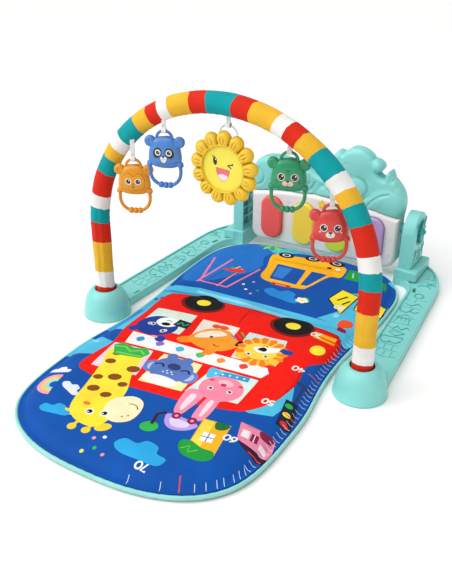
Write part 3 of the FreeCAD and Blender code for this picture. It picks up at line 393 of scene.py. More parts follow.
def giraffe_art():
    neck = soft([(-134, -120), (-84, -106), (-72, -130), (-62, -165), (-46, -196), (-38, -226), (-26, -250),
                 (-30, -286),
                 (-56, -292), (-84, -280), (-98, -256), (-108, -215), (-122, -160)], 4)
    art = [("#f5d22c", oval(-90, -282, 14, 7, 10)), ("#f5d22c", oval(-22, -284, 12, 8, 40))]
    for x, y in ((-61, -300), (-39, -297)):
        art += [("#f5d22c", line([(x + 2, y + 18), (x, y)], 5)), ("#f5d22c", oval(x, y - 3, 6.5, 6.5))]
    art += [("#fde13a", neck), ("#fbeec2", soft([(-48, -222), (-28, -206), (-8, -210), (2, -232), (0, -256),
                                                 (-18, -268), (-38, -262), (-50, -244)])),
            ("#9a5a1e", line(bow(-16, -233, 12, 20, 130), 1.8)), ("#9a5a1e", oval(-8, -246, 1.6, 1.6, 0, 7)),
            ("#9a5a1e", oval(-14, -252, 1.6, 1.6, 0, 7)), ("#f07c3c", oval(-76, -252, 6, 4))]
    for x, y, r in ((-113, -150, 9), (-70, -150, 11), (-82, -180, 11), (-104, -192, 8), (-60, -190, 8),
                    (-92, -218, 10), (-66, -222, 9), (-118, -128, 7)):
        art.append(("#8a4a1c", oval(x, y, r, r * 0.78, 20, 9)))
    art += [(LEAF, [(-138, -108), (-130, -96), (-104, -100), (-84, -92), (-72, -104), (-78, -120), (-122, -131)]),
            ("#7bd04a", line([(-134, -110), (-118, -104), (-104, -112), (-90, -102), (-78, -110)], 4)),
            ("#7bd04a", line([(-122, -124), (-80, -116)], 3))]
    return art + eyes(-50, -262, 11, 4.4, 18)


def street_art():
    """Clouds, rainbow, houses, cars and signs round the bus."""
    art = []
    for radius, hue in ((26, "#f2a0b8"), (20, "#f7c64a"), (14, "#8fd8e8"), (8, DEEP)):
        art.append((hue, line(bow(-147, -240, radius - 3, 100, 290, 12), 6)))
    art += [cloud(-168, -207, 0.62, "#e4e9f2", 20), cloud(-122, -236, 0.7, "#dfe6f0", -20),
            cloud(-108, -288, 0.85, "#2aa6e0", 10),
            cloud(46, -301, 1.35, "#2aa6e0", 2), cloud(16, 172, 1.3, "#2389d8", -8), cloud(-150, 196, 0.8, "#1c6fc4")]
    art += sprinkle(-10, -315, (PINK, WHITE, YELLOW, LEAF, PINK), ((-9, 8), (3, 16), (-11, -16), (2, -5), (19, -10)))
    art += sprinkle(-40, 168, (YELLOW, PINK, LEAF, WHITE, PINK), ((-20, 8), (-8, 25), (14, -1), (-7, -7), (8, -17)))
    art += [(LEAF, oval(30, -250, 13, 11, 30)), ("#3c1a1c", line([(30, -244), (25, -222), (34, -212)], 5)),
            ("#b79ae0", soft([(36, -216), (44, -233), (60, -240), (78, -232), (88, -218), (76, -212), (46, -211)])),
            ("#dccdf2", soft([(46, -219), (52, -231), (64, -233), (76, -225), (72, -217)])),
            ("#8a1c44", oval(50, -212, 7, 7)), ("#8a1c44", oval(75, -211, 7, 7)), (PINK, oval(50, -212, 3, 3, 0, 9)),
            (PINK, oval(75, -211, 3, 3, 0, 9))]
    art += [(SUNNY, [(86, -198), (127, -193), (138, -258), (97, -262)]),
            ("#fbd54a", [(88, -200), (104, -198), (114, -259), (98, -261)]),
            (WHITE, [(101, -222), (119, -220), (122, -238), (104, -240)]),
            (NAVY, line([(110, -221), (113, -239)], 1.4)),
            (NAVY, line([(102, -231), (121, -229)], 1.4)),
            ("#1f6f34", soft([(106, -196), (126, -194), (124, -206), (112, -210)])),
            ("#1f9a3c", soft([(84, -252), (96, -246), (116, -252), (134, -252), (138, -266), (124, -276), (102, -276),
                              (88, -266)])),
            ("#7bd04a", line([(92, -266), (100, -256), (104, -268), (114, -258)], 1.6))]
    art += [("#e889a8", [(134, -178), (188, -180), (198, -214), (190, -222), (146, -212)]),
            ("#8a1c44", soft([(166, -180), (186, -181), (184, -192), (172, -192)])),
            ("#f3e4ea", [(144, -190), (156, -190), (159, -204), (147, -204)]),
            ("#f3e4ea", [(176, -202), (186, -204), (189, -214), (178, -212)]),
            ("#8a1c44", [(159, -192), (170, -192), (173, -206), (162, -206)]),
            (WHITE, line([(164, -192), (167, -206)], 1.2)),
            ("#3c1a3c", soft([(150, -214), (178, -218), (196, -218), (190, -230), (166, -226)]))]
    art += [("#2a3c6c", line([(171, -50), (176, -98)], 4)), ("#2a3c6c", line([(158, -52), (188, -56)], 7)),
            ("#1c2440", [(163, -98), (181, -97), (196, -152), (174, -154)]), (LEAF, oval(173, -109, 6, 5)),
            (YELLOW, oval(178, -127, 6, 5)), ("#e8302c", oval(183, -145, 6, 5))]
    for start, end in (((-164, 248), (-137, 149)), ((-128, 255), (-141, 143)), ((-92, 230), (-99, 145)),
                       ((-62, 245), (-81, 150))):
        art.append(("#f07c9c", line([start, end], 4)))
    art += [("#f07c9c", line([(-142, 148), (-80, 150)], 4)), ("#3a2244", line([(-128, 152), (-118, 212)], 1.6)),
            ("#3a2244", line([(-104, 152), (-94, 214)], 1.6)),
            ("#e8302c", soft([(-124, 210), (-104, 222), (-82, 224), (-86, 212), (-104, 208)])),
            (SUNNY, line([(-104, 222), (-100, 236)], 4)), (LEAF, line([(-106, 221), (-114, 226)], 4))]
    taxi = [(-70, 306), (-60, 322), (20, 336), (74, 334), (84, 306), (82, 288), (64, 280), (48, 224), (36, 211),
            (-20, 208), (-48, 220), (-56, 262)]
    art += [("#fab411", soft(taxi, 4)), ("#ee9c10", [(-62, 302), (76, 316), (78, 308), (-60, 294)]),
            (DEEP, [(-44, 284), (15, 286), (24, 223), (-30, 221)]),
            (DEEP, [(27, 286), (58, 288), (44, 228), (31, 226)]),
            ("#2f7fd4", [(-38, 276), (-10, 278), (-8, 232), (-28, 230)]),
            ("#c62a20", line([(-18, 206), (18, 209)], 9)), ("#f3c8c0", line([(-10, 206), (10, 208)], 2)),
            (BLACK, oval(50, 316, 5, 4)), (WHITE, oval(66, 319, 5, 4))]
    for x, y in ((-46, 326), (6, 337), (55, 341)):
        art += [("#2c1026", oval(x, y, 16, 12.5)), (WHITE, oval(x, y, 8.4, 6.4)),
                ("#2c1026", oval(x, y, 6.2, 4.6, 0, 14))]
    for n in range(6):
        turn = math.radians(200 + 28 * n)
        tip = (-90 + 36 * math.cos(turn), 362 + 36 * math.sin(turn))
        side = (-90 + 20 * math.cos(turn + 0.25), 362 + 20 * math.sin(turn + 0.25))
        art.append((LEAF if n % 2 else "#8fd86a", soft([(-90, 366), side, tip,
                                                        (-92 + 18 * math.cos(turn - 0.2),
                                                         362 + 18 * math.sin(turn - 0.2))], 3)))
    art += [(LEAF, soft([(52, 170), (68, 168), (72, 180), (60, 186)]))]
    art += [("#fbf3d8", oval(59 + 7 * math.cos(n * 1.2566), 174 + 6 * math.sin(n * 1.2566), 5.2, 4.6, 0,
                             10)) for n in range(5)]
    art += [(YELLOW, oval(59, 174, 3.2, 3, 0, 9))]
    for corners in ([(86, 330), (114, 331), (119, 290), (90, 289)], [(126, 322), (164, 320), (172, 292), (131, 290)]):
        art.append(("#1f9a3c", corners))
    art += [(PALE, line([(98, 318), (104, 300)], 3)), (PALE, line([(140, 312), (160, 300)], 3))]
    for corners in ([(104, 250), (143, 238), (137, 162), (95, 204)],
                    [(144, 232), (192, 246), (196, 206), (150, 186)]):
        art += [(BLACK, soft([tuple(Vector(a).lerp(Vector(b), t)) for a,
                              b in zip(corners, corners[1:] + corners[:1]) for t in (0.08, 0.5, 0.92)], 3)),
                ("#f7e02a", inset(corners, 3.2))]
    art += [(BLACK, line([(112, 206), (124, 228)], 4)), (BLACK, line([(126, 196), (134, 214)], 4)),
            (BLACK, line([(162, 216), (182, 222)], 4)),
            ("#e8542a", soft([(146, 128), (166, 136), (164, 152), (146, 148)])),
            ("#8a1c44", soft([(150, 118), (162, 118), (162, 128), (148, 128)]))]
    return art


DIGITS = {
    "0": [bow(0, 0, 4.6, 90, 270), bow(0, 0, 4.6, -90, 90)],
    "2": [bow(0, 3, 3.6, 170, -40) + [(-4, -6.5)], [(-4.2, -6), (4.4, -6)]],
    "3": [bow(0, 3.2, 3.4, 150, -80), bow(0, -3.2, 3.6, 80, -150)],
    "4": [[(1.5, -7), (1.5, 7), (-5, -2.5)], [(-5.2, -2.4), (4.6, -2.4)]],
    "5": [[(4, 6.2), (-3.2, 6.2), (-3.6, 1)] + bow(-0.4, -2.6, 3.8, 120, -140)],
    "6": [[(3.4, 6.6), (-1.6, 3.6)] + bow(0, -2.4, 4.0, 140, 270, 6), bow(0, -2.4, 4.0, -90, 150)],
    "7": [[(-4.2, 6.2), (4.2, 6.2), (-1, -7)]],
}


def ruler_art():
    """A baby ruler along the right edge, 10 cm between numbers, read from the head end."""
    art = []
    edge = [Vector(p) for p in inset(MAT_EDGE, 2.0) if p[0] > 0]
    for mark in range(15, 74):
        y = 377 - mark * 10.05
        beside = min(edge, key=lambda p: abs(p.y - y) + (0 if p.x > 60 else 400))
        if y < -250:
            aim = Vector((0, -60)) - beside
        else:
            aim = Vector((-1, 0.12))
        aim = aim.normalized()
        ten = mark % 10 == 0
        start, end = beside + aim * 1.0, beside + aim * (21 if ten else 12)
        art.append(("#e8503c" if ten else "#dfe8f2", line([tuple(start), tuple(end)], 1.6 if ten else 0.8)))
    for text, x, y in (("20", 127, 183), ("30", 130, 81), ("40", 146, -22), ("50", 145, -119), ("60", 139, -217),
                       ("70", 68, -319)):
        for place, digit in enumerate(text):
            stretch = 1.35 if digit == "0" else 1.0
            for stroke in DIGITS[digit]:
                stroke = [(px, py * stretch) for px, py in stroke]
                art.append((WHITE, moved(line(stroke, 3.0), x + (4.9, -4.9)[place], y, 0.9, 180)))
    return art


mat_layers = [(DEEP, inset(MAT_EDGE, 0.8))] + [(None, inset(MAT_EDGE, d)) for d in (2.2, 4.5, 8.0, 13.0)]
mat_layers += ground_art() + bus_art() + rider_art() + giraffe_art() + street_art() + ruler_art()
mat = cut_sheet("mat_pad_cloth", mat_layers, 7.0)

# The pad is puffed up from a slightly smaller, flatter one, which the cloth simulation fills with pressure.
deselect()
stuffing = cut_sheet("mat_stuffing", [(DEEP, inset(MAT_EDGE, 3.4))], 12.0)
bpy.context.view_layer.objects.active = stuffing
stuffing.select_set(True)
bpy.ops.object.mode_set(mode="EDIT")
bpy.ops.mesh.select_all(action="SELECT")
bpy.ops.mesh.extrude_region_move(TRANSFORM_OT_translate={"value": (0, 0, 0.013)})
bpy.ops.mesh.select_all(action="SELECT")
bpy.ops.mesh.normals_make_consistent(inside=False)
bpy.ops.transform.translate(value=(0, 0, 0.0035))
bpy.ops.object.mode_set(mode="OBJECT")
remesh = stuffing.modifiers.new("even_cloth", "REMESH")
remesh.mode = "VOXEL"
remesh.voxel_size = 0.006
bpy.ops.object.modifier_apply(modifier=remesh.name)
before = [v.co.copy() for v in stuffing.data.vertices]
cloth = stuffing.modifiers.new("puff", "CLOTH")
cloth.settings.quality = 5
cloth.settings.use_pressure = True
cloth.settings.uniform_pressure_force = 4.0
cloth.settings.tension_stiffness = 12.0
cloth.settings.bending_stiffness = 0.4
cloth.settings.effector_weights.gravity = 0.0
cloth.point_cache.frame_start = 1
cloth.point_cache.frame_end = 20
for step in range(1, 21):
    bpy.context.scene.frame_set(step)
bpy.ops.object.modifier_apply(modifier=cloth.name)
bpy.context.scene.frame_set(1)
for v, rest in zip(stuffing.data.vertices, before):
    moved_by = v.co - rest
    if moved_by.length > 0.006:
        moved_by.length = 0.006
    v.co = rest + moved_by
    v.co.z = max(v.co.z, 0.0006)
smooth = stuffing.modifiers.new("ease", "SMOOTH")
smooth.iterations = 6
bpy.ops.object.modifier_apply(modifier=smooth.name)

# The two cloth faces are one closed skin: the printed sheet above, a plain one below, sewn at the rim.
deselect()
bpy.context.view_layer.objects.active = mat
mat.select_set(True)
bpy.ops.object.mode_set(mode="EDIT")
bpy.ops.mesh.select_all(action="SELECT")
bpy.ops.mesh.extrude_region_move(TRANSFORM_OT_translate={"value": (0, 0, 0.02)})
bpy.ops.mesh.select_all(action="SELECT")
bpy.ops.mesh.normals_make_consistent(inside=False)
bpy.ops.object.mode_set(mode="OBJECT")
form = BVHTree.FromObject(stuffing, bpy.context.evaluated_depsgraph_get())
rim_top, rim_bottom = 0.0098, 0.0052
FOLD = [(-0.190, 0.092), (-0.060, 0.106), (0.060, 0.118), (0.186, 0.126)]


def fold_dip(x, y):
    """Depth of the sewn fold line that crosses the mat behind the bus."""
    for (x0, y0), (x1, y1) in zip(FOLD, FOLD[1:]):
        if x0 <= x <= x1:
            off = y - (y0 + (y1 - y0) * (x - x0) / (x1 - x0))
            return 0.0030 * math.exp(-(off / 0.0050) ** 2) + 0.0016 * math.exp(-(off / 0.022) ** 2)
    return 0.0


for v in mat.data.vertices:
    top = v.co.z > 0.01
    x, y = v.co.x, v.co.y
    hit = form.ray_cast(Vector((x, y, 0.5 if top else -0.5)), Vector((0, 0, -1 if top else 1)))[0]
    if hit is None:
        z = rim_top if top else rim_bottom
    elif top:
        puff = noise.noise(Vector((x * 16, y * 16, 0.3))) * 0.0012 + noise.noise(Vector((x * 45, y * 45,
                                                                                         2.0))) * 0.0004
        z = max(hit.z + puff - fold_dip(x, y), rim_top)
    else:
        z = min(max(hit.z, 0.0004), rim_bottom)
    v.co.z = z
deselect()
bpy.data.objects.remove(stuffing)
bpy.context.view_layer.objects.active = mat
mat.select_set(True)
bpy.ops.object.shade_smooth()
for face in mat.data.polygons:
    if face.normal.z < -0.3:
        for loop in face.loop_indices:
            mat.data.color_attributes["ink"].data[loop].color = linear("#083a8c")

# Brushed polyester: a short nap with a soft sheen, dye that varies a little, and threads about 1.2 mm apart,
# drawn three times as coarse as real so that they show.
plush = new_material("sublimation_printed_brushed_polyester")
plush_place = add_node(plush, "ShaderNodeTexCoord")
plush_ink = add_node(plush, "ShaderNodeAttribute", {}, {"attribute_name": "ink"})
plush_cloud = add_node(plush, "ShaderNodeTexNoise", {"Vector": plush_place.outputs["Object"], "Scale": 22.0,
                                                     "Detail": 4.0})
plush_tone = add_node(plush, "ShaderNodeMapRange", {0: plush_cloud.outputs[0], 1: 0.3, 2: 0.7, 3: 0.88, 4: 1.06})
plush_nap = add_node(plush, "ShaderNodeTexNoise", {"Vector": plush_place.outputs["Object"], "Scale": 900.0,
                                                   "Detail": 2.0})
plush_speck = add_node(plush, "ShaderNodeMapRange", {0: plush_nap.outputs[0], 1: 0.25, 2: 0.75, 3: 0.90, 4: 1.08})
plush_both = add_node(plush, "ShaderNodeMath", {0: plush_tone.outputs[0], 1: plush_speck.outputs[0]},
                      {"operation": "MULTIPLY"})
plush_dye = add_node(plush, "ShaderNodeVectorMath", {0: plush_ink.outputs["Color"], "Scale": plush_both.outputs[0]},
                     {"operation": "SCALE"})
plush_warp = add_node(plush, "ShaderNodeTexWave", {"Vector": plush_place.outputs["Object"], "Scale": 260.0,
                                                   "Distortion": 1.5,
                                                   "Detail": 2.0}, {"bands_direction": "X"})
plush_weft = add_node(plush, "ShaderNodeTexWave", {"Vector": plush_place.outputs["Object"], "Scale": 260.0,
                                                   "Distortion": 1.5,
                                                   "Detail": 2.0}, {"bands_direction": "Y"})
plush_weave = add_node(plush, "ShaderNodeMath", {0: plush_warp.outputs[1], 1: plush_weft.outputs[1]},
                       {"operation": "MAXIMUM"})
plush_height = add_node(plush, "ShaderNodeMath", {0: plush_weave.outputs[0], 1: plush_nap.outputs[0]},
                        {"operation": "ADD"})
plush_bump = add_node(plush, "ShaderNodeBump", {"Height": plush_height.outputs[0], "Strength": 0.16,
                                                "Distance": 0.0006})
plush_rough = add_node(plush, "ShaderNodeMapRange", {0: plush_cloud.outputs[0], 3: 0.62, 4: 0.78})
plush_skin = add_node(plush, "ShaderNodeBsdfPrincipled", {
    "Base Color": plush_dye.outputs[0], "Roughness": plush_rough.outputs[0], "Normal": plush_bump.outputs[0],
    "Sheen Weight": 0.05, "Sheen Roughness": 0.3, "Specular IOR Level": 0.16})
add_node(plush, "ShaderNodeOutputMaterial", {"Surface": plush_skin.outputs[0]})
mat.data.materials.append(plush)
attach(mat, "frame")
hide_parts("mat_pad")

# ---- mat piping ----
# A cord in bias-cut teal tape, sewn into the mat's edge seam all the way round: it hides the seam and stiffens
# the rim. The tape's two sewn edges are drawn in under the rim, so only the round roll shows.
deselect()
PIPING_MM = evened(inset(MAT_EDGE, -2.3), 5.0)
bpy.ops.mesh.primitive_circle_add(vertices=14, radius=1.0, location=(0, 0, 0))
piping = bpy.context.active_object
piping.name = "mat_piping_tape"
ring = [v.co.copy() for v in piping.data.vertices]
rows = []
for n, (x, y) in enumerate(PIPING_MM):
    ahead, behind = PIPING_MM[(n + 1) % len(PIPING_MM)], PIPING_MM[n - 1]
    out = Vector((ahead[1] - behind[1], behind[0] - ahead[0], 0)).normalized()
    pucker = 1 + 0.05 * math.sin(n * 2.1) + 0.04 * noise.noise(Vector((x * 0.09, y * 0.09, 0)))
    for p in ring:
        wide = 2.1 if p.x > 0 else 3.4
        rows.append((Vector((x, y, 5.6)) + out * p.x * wide * pucker + Vector((0, 0, p.y * 3.3 * pucker))) * 0.001)
skin = bpy.data.meshes.new("mat_piping_tape")
span = len(ring)
skin.from_pydata(rows, [], [(n * span + k, n * span + (k + 1) % span,
                             (n + 1) % len(PIPING_MM) * span + (k + 1) % span,
                             (n + 1) % len(PIPING_MM) * span + k) for n in range(len(PIPING_MM)) for k in range(span)])
piping.data = skin
bpy.ops.object.mode_set(mode="EDIT")
bpy.ops.mesh.select_all(action="SELECT")
bpy.ops.mesh.normals_make_consistent(inside=False)
bpy.ops.object.mode_set(mode="OBJECT")
bpy.ops.object.shade_smooth()
tape = new_material("woven_polyester_bias_tape")
tape_place = add_node(tape, "ShaderNodeTexCoord")
tape_cloud = add_node(tape, "ShaderNodeTexNoise", {"Vector": tape_place.outputs["Object"], "Scale": 35.0,
                                                   "Detail": 3.0})
tape_dye = add_node(tape, "ShaderNodeMix", {0: tape_cloud.outputs[0], 6: linear("#7fcfc6"), 7: linear("#a9e3da")},
                    {"data_type": "RGBA"})
tape_twill = add_node(tape, "ShaderNodeTexWave", {"Vector": tape_place.outputs["Object"], "Scale": 330.0,
                                                  "Distortion": 1.0},
                      {"bands_direction": "DIAGONAL"})
tape_bump = add_node(tape, "ShaderNodeBump", {"Height": tape_twill.outputs[1], "Strength": 0.3, "Distance": 0.0005})
tape_skin = add_node(tape, "ShaderNodeBsdfPrincipled", {"Base Color": tape_dye.outputs[2], "Roughness": 0.7,
                                                        "Normal": tape_bump.outputs[0], "Sheen Weight": 0.1})
add_node(tape, "ShaderNodeOutputMaterial", {"Surface": tape_skin.outputs[0]})
piping.data.materials.append(tape)
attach(piping, "frame")
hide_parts("mat_piping")

# ---- cups, rails and posts ----
# The two side frames are injection-moulded polypropylene: a domed cup that the arch leg drops into, a hollow rail
# with a raised lip, and a post screwed on from below. The mould is spark-eroded, so the skin is finely grained and
# satin; the rail tops and the posts carry a raised line drawing.


def moulded_plastic(name, face, shade, roughness=0.4, glow=0.10, grain=1400.0, inked=False):
    """Moulded polyolefin or ABS. Light goes a little way in, the dye drifts slightly along the flow of the melt,
    and the grain, really about 0.1 mm, is drawn near 0.7 mm so that it shows. Printed ones carry their inks.
    Corners and hollows within 7 mm are darkened to as little as 0.72 of the colour: painted shade."""
    made = new_material(name)
    place = add_node(made, "ShaderNodeTexCoord")
    flow = add_node(made, "ShaderNodeTexNoise", {"Vector": place.outputs["Object"], "Scale": 13.0, "Detail": 3.0,
                                                 "Distortion": 0.6})
    if not inked:
        tone = add_node(made, "ShaderNodeMix", {0: flow.outputs[0], 6: linear(shade), 7: linear(face)},
                        {"data_type": "RGBA"})
    if inked:
        print_ink = add_node(made, "ShaderNodeVertexColor", {}, {"layer_name": "ink"})
        drift = add_node(made, "ShaderNodeMapRange", {0: flow.outputs[0], 3: 0.93, 4: 1.03})
        tone = add_node(made, "ShaderNodeVectorMath", {0: print_ink.outputs["Color"], "Scale": drift.outputs[0]},
                        {"operation": "SCALE"})
    tinted = tone.outputs[0] if inked else tone.outputs[2]
    # Painted shade: ambient occlusion within 7 mm darkens the colour in corners and hollows.
    hollow = add_node(made, "ShaderNodeAmbientOcclusion", {"Distance": 0.007}, {"samples": 6})
    depth = add_node(made, "ShaderNodeMapRange", {0: hollow.outputs["AO"], 1: 0.25, 2: 0.85, 3: 0.72, 4: 1.0})
    colour = add_node(made, "ShaderNodeVectorMath", {0: tinted, "Scale": depth.outputs[0]}, {"operation": "SCALE"})
    pits = add_node(made, "ShaderNodeTexNoise", {"Vector": place.outputs["Object"], "Scale": grain, "Detail": 2.0})
    swirl = add_node(made, "ShaderNodeTexNoise", {"Vector": place.outputs["Object"], "Scale": 60.0, "Detail": 2.0})
    rough = add_node(made, "ShaderNodeMapRange", {0: swirl.outputs[0], 3: roughness - 0.06, 4: roughness + 0.08})
    bump = add_node(made, "ShaderNodeBump", {"Height": pits.outputs[0], "Strength": 0.12, "Distance": 0.0003})
    skin = add_node(made, "ShaderNodeBsdfPrincipled", {
        "Base Color": colour.outputs[0], "Roughness": rough.outputs[0], "Normal": bump.outputs[0],
        "Subsurface Weight": glow, "Subsurface Radius": (0.004, 0.004, 0.004), "IOR": 1.49})
    add_node(made, "ShaderNodeOutputMaterial", {"Surface": skin.outputs[0]})
    return made


def finish_node(name, material):
    """Gives a CAD part its finish."""
    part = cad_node(name)
    part.data.materials.clear()
    part.data.materials.append(material)
    for face in part.data.polygons:
        face.material_index = 0


teal = moulded_plastic("moulded_teal_polypropylene", "#8edbd5", "#74c9c4")
for name in ("foot_cup_left", "foot_cup_right", "rail_left", "rail_right", "post_left", "post_right"):
    finish_node(name, teal)
# The raised lines are moulded in the rail's and post's own teal; the darker teal given to them is painted shade along
# the lines.
line_teal_painted_shade = moulded_plastic("wiped_teal_ink_on_raised_lines", "#4fb3b2", "#3fa3a4", 0.42, 0.06)
grip = moulded_plastic("thermoplastic_rubber_pad", "#c9cfce", "#b9c1c0", 0.75, 0.0, 500.0)
finish_node("grip_pads", grip)

zinc = new_material("zinc_plated_steel_screw")
zinc_place = add_node(zinc, "ShaderNodeTexCoord")
zinc_haze = add_node(zinc, "ShaderNodeTexNoise", {"Vector": zinc_place.outputs["Object"], "Scale": 500.0,
                                                  "Detail": 4.0})
zinc_rough = add_node(zinc, "ShaderNodeMapRange", {0: zinc_haze.outputs[0], 3: 0.22, 4: 0.42})
zinc_tone = add_node(zinc, "ShaderNodeMix", {0: zinc_haze.outputs[0], 6: linear("#a9abad"), 7: linear("#cfd2d6")},
                     {"data_type": "RGBA"})
zinc_skin = add_node(zinc, "ShaderNodeBsdfPrincipled", {"Base Color": zinc_tone.outputs[2], "Metallic": 1.0,
                                                        "Roughness": zinc_rough.outputs[0]})
add_node(zinc, "ShaderNodeOutputMaterial", {"Surface": zinc_skin.outputs[0]})
finish_node("post_screws", zinc)


def raised_line(runs, place, width, height):
    """Raised moulded lines as one mesh: each run of points is a half-round bead; place gives a point and its normal."""
    verts, faces = [], []
    for run in runs:
        start = len(verts)
        for n, here in enumerate(run):
            p, up = place(*here)
            q, _ = place(*run[min(n + 1, len(run) - 1)])
            o, _ = place(*run[max(n - 1, 0)])
            along = (q - o).normalized()
            side = up.cross(along).normalized()
            thin = 0.45 if n in (0, len(run) - 1) else 1.0
            for turn in range(7):
                a = math.pi * (turn - 0.5) / 6
                verts.append(p + side * math.cos(a) * width / 2 * thin + up * (math.sin(a) * height * thin))
        for n in range(len(run) - 1):
            a = start + n * 7
            for k in range(6):
                faces.append((a + k, a + k + 1, a + k + 8, a + k + 7))
            faces.append((a + 6, a, a + 7, a + 13))
        faces.append(tuple(range(start, start + 7)))
        last = start + (len(run) - 1) * 7
        faces.append(tuple(range(last + 6, last - 1, -1)))
    return verts, faces


def mesh_piece(name, verts, faces, material, body, smooth=True):
    """A finished piece from its points and faces, with its faces turned outwards."""
    deselect()
    skin = bpy.data.meshes.new(name)
    skin.from_pydata(verts, [], faces)
    piece = bpy.data.objects.new(name, skin)
    bpy.context.scene.collection.objects.link(piece)
    bpy.context.view_layer.objects.active = piece
    piece.select_set(True)
    bpy.ops.object.mode_set(mode="EDIT")
    bpy.ops.mesh.select_all(action="SELECT")
    bpy.ops.mesh.remove_doubles(threshold=0.00001)
    bpy.ops.mesh.normals_make_consistent(inside=False)
    bpy.ops.object.mode_set(mode="OBJECT")
    if smooth:
        bpy.ops.object.shade_smooth_by_angle(angle=math.radians(50))
    skin.materials.append(material)
    if body:
        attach(piece, body)
    return piece


# Rail drawing, seen from above on the right rail in millimetres: bricks and a roof line near the cup, clouds and a
# zigzag road along the middle, hills and a tree towards the post.
RAIL_DRAWING = [
    [(218, 96), (240, 90)], [(240, 90), (258, 97)], [(224, 94), (226, 112)], [(236, 91), (238, 108)],
                [(249, 94), (248, 112)],
    [(216, 112), (255, 114)], [(220, 113), (219, 128)], [(232, 113), (231, 130)], [(245, 114), (244, 129)],
                [(216, 129), (252, 131)],
    bow(226, 142, 8, 190, 350), bow(240, 146, 9, 200, 380), [(217, 143), (216, 152), (250, 158), (251, 150)],
    [(222, 168), (236, 160), (248, 172), (230, 178), (222, 168)], [(229, 170), (238, 172)],
    [(214, 186), (224, 180), (230, 192), (238, 182), (246, 194), (251, 188)], [(213, 200), (249, 204)],
    [(218, 203), (220, 222), (240, 224), (243, 204)], [(216, 222), (230, 236), (246, 226)], [(227, 212), (227, 222)],
                [(234, 212), (234, 223)],
    bow(222, 252, 9, 150, 390), bow(238, 255, 7, 120, 360), [(212, 262), (246, 266)],
    [(214, 276), (226, 270), (236, 282), (246, 274)], [(228, 284), (228, 304)], bow(228, 312, 8, -80, 260, 12),
    [(208, 294), (218, 290)], [(236, 296), (247, 300)], bow(226, 344, 12, 20, 170), bow(236, 356, 9, 10, 180),
                [(216, 352), (244, 366)],
    [(222, 372), (232, 366), (240, 376)], [(218, 384), (238, 386)], [(222, 386), (220, 402)],
                [(232, 386), (228, 404)],
]


RAIL_LINE, POST_LINE, LINE_PROUD = 0.0023, 0.0026, 0.0013  # widths and height of the raised lines


def rail_top(x, y):
    return Vector((x * 0.001, y * 0.001, 0.0126)), Vector((0, 0, 1))


right_lines = raised_line(RAIL_DRAWING, rail_top, RAIL_LINE, LINE_PROUD)
left_runs = [[(-x, y) for x, y in run] for run in RAIL_DRAWING]
left_lines = raised_line(left_runs, rail_top, RAIL_LINE, LINE_PROUD)
for name, (verts, faces) in (("rail_right_drawing", right_lines), ("rail_left_drawing", left_lines)):
    mesh_piece(name, verts, faces, line_teal_painted_shade, "frame")

# Raised leaves and curls on the outer face of each post, and a ring of petals in the recess round the knob.
POST_DRAWING = [
    [(372, 42), (378, 52), (372, 62), (380, 70)], [(431, 42), (424, 54), (431, 64), (423, 72)],
    bow(402, 52, 9, 200, 520, 14), bow(388, 60, 6, 90, 300), bow(416, 60, 6, -120, 90), [(402, 43), (402, 66)],
    bow(402, 98, 25.5, 20, 160, 16), bow(402, 98, 25.5, 200, 340, 16), bow(380, 116, 5, 60, 300),
                bow(424, 116, 5, -120, 120),
]


POST_FACE = 0.192  # the outer face of each post, from the middle


def right_face(y, z):
    return Vector((POST_FACE, y * 0.001, z * 0.001)), Vector((1, 0, 0))


def left_face(y, z):
    return Vector((-POST_FACE, y * 0.001, z * 0.001)), Vector((-1, 0, 0))


for name, face in (("post_right_drawing", right_face), ("post_left_drawing", left_face)):
    verts, faces = raised_line(POST_DRAWING, face, POST_LINE, LINE_PROUD)
    mesh_piece(name, verts, faces, line_teal_painted_shade, "frame")

# ---- arch ----
# Two plastic tubes plugged together at the top carry a thin foam tube in a striped polyester sleeve. The sleeve is
# sewn from dyed bands, with its long seam on the outer side, and is pulled on over the arch, so it puckers inside
# the bend and shows a soft crease down the front of each leg.
extruded = moulded_plastic("extruded_white_polypropylene_tube", "#e4e8e6", "#d3d9d7", 0.5)
for name in ("arch_tube_left", "arch_tube_right", "arch_joiner"):
    finish_node(name, extruded)

deselect()
LEG_FOOT, LEG_TOP, ARCH_R, SLEEVE_R = 0.034, 0.165, 0.238, 0.0160
bpy.ops.mesh.primitive_circle_add(vertices=56, radius=SLEEVE_R, location=(ARCH_R, 0, LEG_FOOT))
sleeve = bpy.context.active_object
sleeve.name = "arch_sleeve_cloth"
bpy.ops.object.transform_apply(location=True, rotation=True, scale=True)
bpy.ops.object.mode_set(mode="EDIT")
bpy.ops.mesh.select_all(action="SELECT")
for _ in range(38):
    bpy.ops.mesh.extrude_region_move(TRANSFORM_OT_translate={"value": (0, 0, (LEG_TOP - LEG_FOOT) / 38)})
bpy.ops.mesh.spin(steps=210, angle=math.pi, center=(0, 0, LEG_TOP), axis=(0, 1, 0))
skin = bmesh.from_edit_mesh(sleeve.data)
for v in skin.verts:
    v.select_set(v.co.x < 0 and abs(v.co.z - LEG_TOP) < 1e-5)
skin.select_flush(True)
bmesh.update_edit_mesh(sleeve.data)
for _ in range(38):
    bpy.ops.mesh.extrude_region_move(TRANSFORM_OT_translate={"value": (0, 0, (LEG_FOOT - LEG_TOP) / 38)})
bpy.ops.mesh.select_all(action="SELECT")
bpy.ops.mesh.remove_doubles(threshold=0.00005)
bpy.ops.mesh.normals_make_consistent(inside=False)
bpy.ops.object.mode_set(mode="OBJECT")
HALF_RUN = LEG_TOP - LEG_FOOT + ARCH_R * math.pi / 2


